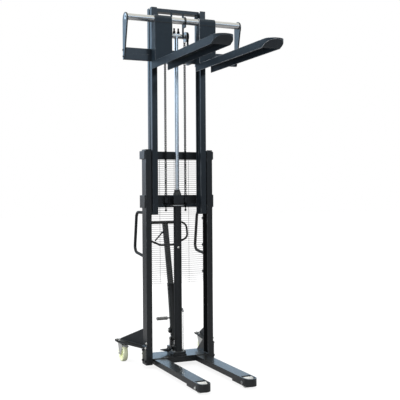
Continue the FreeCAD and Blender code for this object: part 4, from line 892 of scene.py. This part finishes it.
def release_details():
    treads = Shape()
    low, high = PEDAL_FACE
    for i in range(TREAD_COUNT):
        x = TREAD_START + TREAD_PITCH * i
        half = PEDAL_TIP_HALF + PEDAL_FLARE * (x - PEDAL_TIP) / PEDAL_LENGTH
        treads.block((x, PEDAL_Y - half, low), (x + TREAD_WIDTH, PEDAL_Y + half, high))
    for y in WEB_PLACES:
        treads.slab([at(x, y, z) for x, z in WEB_OUTLINE], Y_AXIS * WEB_PLATE * MM)
    treads.piece("pedal_treads", "grip_rubber", "release_pedal")
    tip = Shape()
    low, high = span("release_lever")
    end = at(low.x + LEVER_TIP_INSET, (low.y + high.y) / 2, low.z + LEVER_TIP_INSET)
    tip.turn(LEVER_TIP, end, LEVER_TIP_SLOPE, steps=20)
    tip.piece("release_tip", "grip_rubber", "release_lever")


# Grips

GRIP_RIB = ((0, 1), (0.25, 0), (0.7, 0), (0.9, 1))  # shares of a rib's pitch and depth
LOOP_BAR = (0, 792.2, 1219.1)
LOOP_GRIP_END = [(-140, 9.4), (-140, 12), (-138, 14), (-133, 14), (-131, 12.4)]
LOOP_GRIP_RIBS = 130
PEG_Y = 613.5
PEG_Z = 390
PEG_GRIP_ROOT = [(53, 6.4), (53, 14), (54, 16), (58, 16), (59, 14)]
PEG_GRIP_RIBS = (60, 142)
PEG_GRIP_END = [(143, 14.5), (147, 15.5), (150, 13), (150, 6.4)]


def ribs(low, high, pitch, radius, depth):
    """A profile of rounded ribs between two distances."""
    count = int((high - low) / pitch)
    profile = []
    for i in range(count):
        start = low + (high - low) * i / count
        profile += [(start + pitch * along, radius - depth * sunk) for along, sunk in GRIP_RIB]
    return profile


def grips():
    loop = Shape()
    other_end = [(-along, radius) for along, radius in reversed(LOOP_GRIP_END)]
    rubber = ribs(-LOOP_GRIP_RIBS, LOOP_GRIP_RIBS, pitch=10, radius=13.2, depth=0.9)
    loop.turn(LOOP_GRIP_END + rubber + other_end, at(*LOOP_BAR), X_AXIS, steps=32, closed=True)
    loop.piece("loop_grip", "grip_rubber", "pump_handle", "handle_grips")
    peg = Shape()
    outward = PEG_GRIP_ROOT + ribs(*PEG_GRIP_RIBS, pitch=7, radius=15, depth=1.5) + PEG_GRIP_END
    peg.turn([(-along, radius) for along, radius in outward], at(0, PEG_Y, PEG_Z), X_AXIS, steps=32,
             closed=True)
    peg.piece("peg_grip", "grey_rubber", "pump_handle", slot="grip_rubber")


# Fasteners, crosshead and bar

FOOT_PLATE_FACE = 314
COLUMN_FACE = span("right_outer_channel")[1].x
LEG_AXLE_FACE = span("axle_pins")[1].x
FOOT_FRONT = 446
BRACKET_BOLT_Z = 177
COLUMN_BOLT_Z = 216
FOOT_BOLTS = ((446, 66), (516, 66), (516, 152))
STOP_BOLT = (178.5, 484, 3001)
AXLE_HALF = span("crosshead")[1].x
STUD_X = 19
STUD_LOW = span("crosshead")[1].z
STUD_NUT = 2862
CROSSHEAD_BAR = [(-76, 15), (-75, 18), (-73, 20), (73, 20), (75, 18), (76, 15)]
CROSSHEAD_AXLE = [(-AXLE_HALF, 9), (1 - AXLE_HALF, 10), (AXLE_HALF - 1, 10), (AXLE_HALF, 9)]
CROSSHEAD_COLLAR = [(-18, 24), (-16, 26), (-8, 26), (-6, 24)]
CROSSHEAD_PLATE = (
    (-34, -12), (-28, -17), (28, -17), (34, -12), (34, 12), (28, 17), (-28, 17), (-34, 12))
CROSSHEAD_PLATE_LOW = 4
CROSSHEAD_PLATE_HEIGHT = 14
END_PLATE_FACE = span("end_plates")[1].x
BAR_SCREW_FACE = END_PLATE_FACE + 1
BAR_Y, BAR_Z = middle("carriage_bar").yz
BAR_END = [(0, 25.5), (1.6, 25.5), (2.6, 24.4), (2.6, 11), (1.6, 10.4), (0, 10.4)]
BEAM_BOLTS = ((378, 2607), (383, 2660))
COLLAR_FACE = 271.5


def fasteners():
    base, dark, mast = Shape(), Shape(), Shape()
    for side in SIDES:
        out = X_AXIS * side
        base.bolt(at(side * FOOT_PLATE_FACE, FOOT_FRONT, BRACKET_BOLT_Z), out, flats=12, height=8)
        base.bolt(at(side * COLUMN_FACE, FOOT_FRONT, COLUMN_BOLT_Z), out, flats=13, height=9)
        for y, z in FOOT_BOLTS:
            dark.bolt(at(side * FOOT_PLATE_FACE, y, z), out, flats=15, height=9)
        base.hexagon(at(side * LEG_AXLE_FACE, *LOAD_WHEEL_PLACE[1:]), out, flats=17, height=6)
        mast.bolt(at_side(STOP_BOLT, side), -out, flats=17, height=10)
        mast.dome(at(side * AXLE_HALF, PULLEY_Y, PULLEY_Z), out, radius=9, height=4)
    base.piece("base_bolts", "zinc", "frame")
    dark.piece("foot_bolts", "chain_steel", "frame")
    mast.piece("mast_bolts", "bright_steel", "inner_mast")


def crosshead():
    studs, bar = Shape(), Shape()
    for side in SIDES:
        studs.thread(at(side * STUD_X, PULLEY_Y, STUD_LOW), Z_AXIS, radius=8, length=50)
        studs.hexagon(at(side * STUD_X, PULLEY_Y, STUD_LOW), Z_AXIS, flats=22, height=13)
        studs.hexagon(at(side * STUD_X, PULLEY_Y, STUD_NUT), Z_AXIS, flats=22, height=9)
    studs.piece("crosshead_studs", "chain_steel", "inner_mast", "crosshead_bolts")
    centre = at(0, PULLEY_Y, PULLEY_Z)
    bar.turn(CROSSHEAD_BAR, centre, X_AXIS, steps=48)
    bar.turn(CROSSHEAD_AXLE, centre, X_AXIS, steps=32)
    bar.turn(CROSSHEAD_COLLAR, centre, Z_AXIS, steps=40)
    bar.slab([centre + at(x, y, CROSSHEAD_PLATE_LOW) for x, y in CROSSHEAD_PLATE],
             at(0, 0, CROSSHEAD_PLATE_HEIGHT))
    bar.piece("crosshead_bar", "chrome", "inner_mast", "crosshead")


def bar_details():
    heads, ends = Shape(), Shape()
    for side in SIDES:
        out = X_AXIS * side
        heads.dome(at(side * BAR_SCREW_FACE, BAR_Y, BAR_Z), out, radius=10, height=4)
        ends.turn(BAR_END, at(side * END_PLATE_FACE, BAR_Y, BAR_Z), out, steps=48, closed=True)
        for y, z in BEAM_BOLTS:
            heads.dome(at(side * END_PLATE_FACE, y, z), out, radius=8, height=4.5)
    heads.dome(at(0, COLLAR_FACE, BAR_Z), -Y_AXIS, radius=5, height=3)
    heads.piece("carriage_bolt_heads", "chain_steel", "carriage", "carriage_bolts")
    ends.piece("bar_ends", "chrome", "carriage")


# Weld beads on the right side, as paths, which are mirrored to the left

BEAD_SIZE = 2.6
FRAME_BEADS = [
    [(256, 434, 86), (256, 534, 86)],
    [(142, 433, 80), (243, 433, 80)],
    [(140, 433, 36), (140, 433, 78)],
    [(258, 536, 86), (258, 682, 86)],
    [(267, 536, 86), (267, 682, 86)],
    [(258, 535, 88), (258, 535, 206)],
    [(272, 535, 186), (296, 535, 186)],
    [(315, 448, 186), (315, 532, 186)],
    [(308, 538, 186), (392, 897, 186)],
    [(297, 538, 186), (381, 899, 186)],
    [(302, 536, 188), (302, 536, 326)],
    [(307, 437, 1774), (307, 437, 1839)],
    [(307, 437, 1361), (307, 437, 1464)],
    [(307, 440, 1771), (307, 533, 1771)],
    [(307, 440, 1358), (307, 533, 1358)],
    [(307, 440, 1467), (307, 533, 1467)],
    [(307, 436, 191), (307, 533, 191)],
    [(46, 549, 1392), (46, 549, 1465)],
]
MAST_BEADS = [
    [(198, 463, 3022), (198, 463, 3048)],
    [(198, 466, 3019), (198, 536, 3019)],
    [(46, 463.5, 3019), (60, 463.5, 3019)],
]
CARRIAGE_BEADS = [
    [(503, 390, 2583), (503, 390, 2682)],
    [(195, 390, 2583), (195, 390, 2682)],
    [(183, 390, 2583), (183, 390, 2682)],
    [(80, 391, 2608), (102, 391, 2608)],
]
FORK_BEADS = [
    [(126, 273.6, 2892), (271, 273.6, 2892)],
    [(126, 272.6, 2575), (271, 272.6, 2575)],
]
GRAB_HANDLE_ENDS = ((288, 535, 947), (288, 535, 1318))
LOOP_END = (25, 744, 1019.8)
PEG_ROOT = (-28.5, PEG_Y, PEG_Z)
TUBE_BEAD = (0, CYLINDER_Y, SHOE_TOP + 1)


def lay(shape, paths, side):
    for path in paths:
        shape.bead([at_side(place, side) for place in path], BEAD_SIZE)


def welds():
    base, mast, carriage, handle = Shape(), Shape(), Shape(), Shape()
    for side, name in SIDE_NAMES.items():
        lay(base, FRAME_BEADS, side)
        lay(mast, MAST_BEADS, side)
        lay(carriage, CARRIAGE_BEADS, side)
        for place in GRAB_HANDLE_ENDS:
            base.bead(ring_path(at_side(place, side), X_AXIS, Z_AXIS, radius=13), size=2.4)
        handle.bead(ring_path(at_side(LOOP_END, side), Y_AXIS, Z_AXIS, radius=9.5), size=2.2)
        fork = Shape()
        lay(fork, FORK_BEADS, side)
        fork.piece(name + "_fork_welds", "mast_paint", name + "_fork")
    base.bead(ring_path(at(*TUBE_BEAD), X_AXIS, Y_AXIS, TUBE_RADIUS), size=2.8)
    handle.bead(ring_path(at(*PEG_ROOT), Y_AXIS, Z_AXIS, radius=6.5), size=2.2)
    base.piece("frame_welds", "base_paint", "frame")
    mast.piece("mast_welds", "mast_paint", "inner_mast")
    carriage.piece("carriage_welds", "mast_paint", "carriage")
    handle.piece("handle_welds", "base_paint", "pump_handle")


# Stage, light and camera. Places are in metres.

WHITE = (1.0, 1.0, 1.0, 1.0)
FLOOR_SIZE = 80.0
FLOOR_SHINE = 0.14
FLOOR_NEAR = 2.0
FLOOR_FAR = 9.0
FLOOR_NEAR_LEVEL = 0.84
BACKDROP_SIDE = (-0.75, 0.66, 0.0)
BACKDROP_REACH = (-0.80, -0.05)
SKY_HEIGHTS = (-0.25, 1.0)
FRONT_SKY = [(0.256, grey(0.03)), (0.34, (0.96, 1.30, 1.70)), (0.50, (0.60, 0.61, 0.58))]
BACKDROP_SKY = [(0.184, (0.40, 0.39, 0.37)), (0.24, (0.70, 0.78, 0.92)),
                (0.336, (0.74, 1.12, 1.54)), (0.50, (0.72, 0.73, 0.68))]
AMBIENT = (0.34, 0.355, 0.37, 1.0)
LIGHT_TARGET = (0.0, 0.0, 1.4)
LIGHTS = {  # place, size, power, colour
    "left_box": ((-5.5, 0.8, 2.6), 5.0, 260.0, (0.96, 0.98, 1.0)),
    "top_box": ((-0.5, -0.5, 6.5), 4.0, 260.0, (1.0, 1.0, 1.0)),
    "front_fill": ((-4.2, -6.2, 2.6), 3.0, 165.0, (1.0, 0.99, 0.98)),
    "rear_fill": ((3.6, 6.4, 3.2), 3.0, 260.0, (1.0, 1.0, 1.0)),
}
CAMERA_PLACE = (-2.49586, -5.70502, 1.48950)
CAMERA_RIGHT = (0.9162, -0.4007, -0.0063)
CAMERA_UP = (0.0098, 0.0068, 0.99995)
CAMERA_FORWARD = (0.40062, 0.91619, -0.01020)
CAMERA_LENS = 69.74
CAMERA_SENSOR = 36.0


def stage():
    """A floor that the camera sees as nearly white, with the object's shadow on it."""
    bpy.ops.mesh.primitive_plane_add(size=FLOOR_SIZE, location=(0.0, 0.0, 0.0))
    floor = bpy.context.object
    floor.name = "floor"
    material, tree, surface, place = shader("floor")
    tone = ramp(tree, noise(tree, place, scale=1.5), [(0.3, grey(0.20)), (0.7, grey(0.22))])
    tree.links.new(tone, surface.inputs["Base Color"])
    surface.inputs["Roughness"].default_value = 0.9
    surface.inputs["Specular IOR Level"].default_value = 0.0
    surface.inputs["Emission Color"].default_value = WHITE
    path = tree.nodes.new("ShaderNodeLightPath").outputs
    away = tree.nodes.new("ShaderNodeVectorMath")
    away.operation = "LENGTH"
    tree.links.new(place, away.inputs[0])
    level = spread(tree, away.outputs["Value"], FLOOR_NEAR, FLOOR_FAR, FLOOR_NEAR_LEVEL)
    shine = ramp(tree, path["Is Glossy Ray"], [(0.0, grey(0.0)), (1.0, grey(FLOOR_SHINE))])
    seen = maths(tree, maths(tree, path["Is Camera Ray"], path["Is Transmission Ray"]), shine)
    tree.links.new(maths(tree, seen, level, "MULTIPLY"), surface.inputs["Emission Strength"])
    floor.data.materials.append(material)


def sky():
    """A bright backdrop behind and to the left, mirrored by gloss. The camera sees plain white."""
    world = bpy.data.worlds.new("studio")
    bpy.context.scene.world = world
    world.use_nodes = True
    tree = world.node_tree
    around = tree.nodes.new("ShaderNodeTexCoord").outputs["Generated"]
    axes = tree.nodes.new("ShaderNodeSeparateXYZ")
    tree.links.new(around, axes.inputs["Vector"])
    height = spread(tree, axes.outputs["Z"], *SKY_HEIGHTS)
    facing = tree.nodes.new("ShaderNodeVectorMath")
    facing.operation = "DOT_PRODUCT"
    facing.inputs[1].default_value = BACKDROP_SIDE
    tree.links.new(around, facing.inputs[0])
    backdrop, sides = mix(tree, spread(tree, facing.outputs["Value"], *BACKDROP_REACH))
    tree.links.new(ramp(tree, height, FRONT_SKY), sides["A_Color"])
    tree.links.new(ramp(tree, height, BACKDROP_SKY), sides["B_Color"])
    path = tree.nodes.new("ShaderNodeLightPath").outputs
    lit, light = mix(tree, path["Is Glossy Ray"])
    light["A_Color"].default_value = AMBIENT
    tree.links.new(backdrop, light["B_Color"])
    view, colours = mix(tree, maths(tree, path["Is Camera Ray"], path["Is Transmission Ray"]))
    tree.links.new(lit, colours["A_Color"])
    colours["B_Color"].default_value = WHITE
    tree.links.new(view, tree.nodes["Background"].inputs["Color"])


def lights():
    """Softboxes. Gloss mirrors the sky alone, so that no box shows in the chrome."""
    for name, (place, size, power, colour) in LIGHTS.items():
        light = bpy.data.lights.new(name, "AREA")
        light.shape = "RECTANGLE"
        light.size, light.size_y = size, size
        light.energy = power
        light.color = colour
        lamp = bpy.data.objects.new(name, light)
        lamp.location = place
        lamp.visible_glossy = False
        aim = Vector(LIGHT_TARGET) - Vector(place)
        lamp.rotation_euler = aim.to_track_quat("-Z", "Y").to_euler()
        bpy.context.collection.objects.link(lamp)


def camera():
    lens = bpy.data.cameras.new("camera")
    lens.lens = CAMERA_LENS
    lens.sensor_width = CAMERA_SENSOR
    eye = bpy.data.objects.new("camera", lens)
    turn = Matrix((CAMERA_RIGHT, CAMERA_UP, -Vector(CAMERA_FORWARD))).transposed()
    eye.matrix_world = Matrix.Translation(CAMERA_PLACE) @ turn.to_4x4()
    bpy.context.collection.objects.link(eye)
    bpy.context.scene.camera = eye
    bpy.context.scene.view_settings.view_transform = "Standard"


dress_nodes()
chains()
chain_ends()
guard_wires()
wheels()
bracket_details()
caster_details()
brake_details()
cylinder_shoe()
cylinder_details()
spring()
pump_details()
release_details()
grips()
fasteners()
crosshead()
bar_details()
welds()
stage()
sky()
lights()
camera()
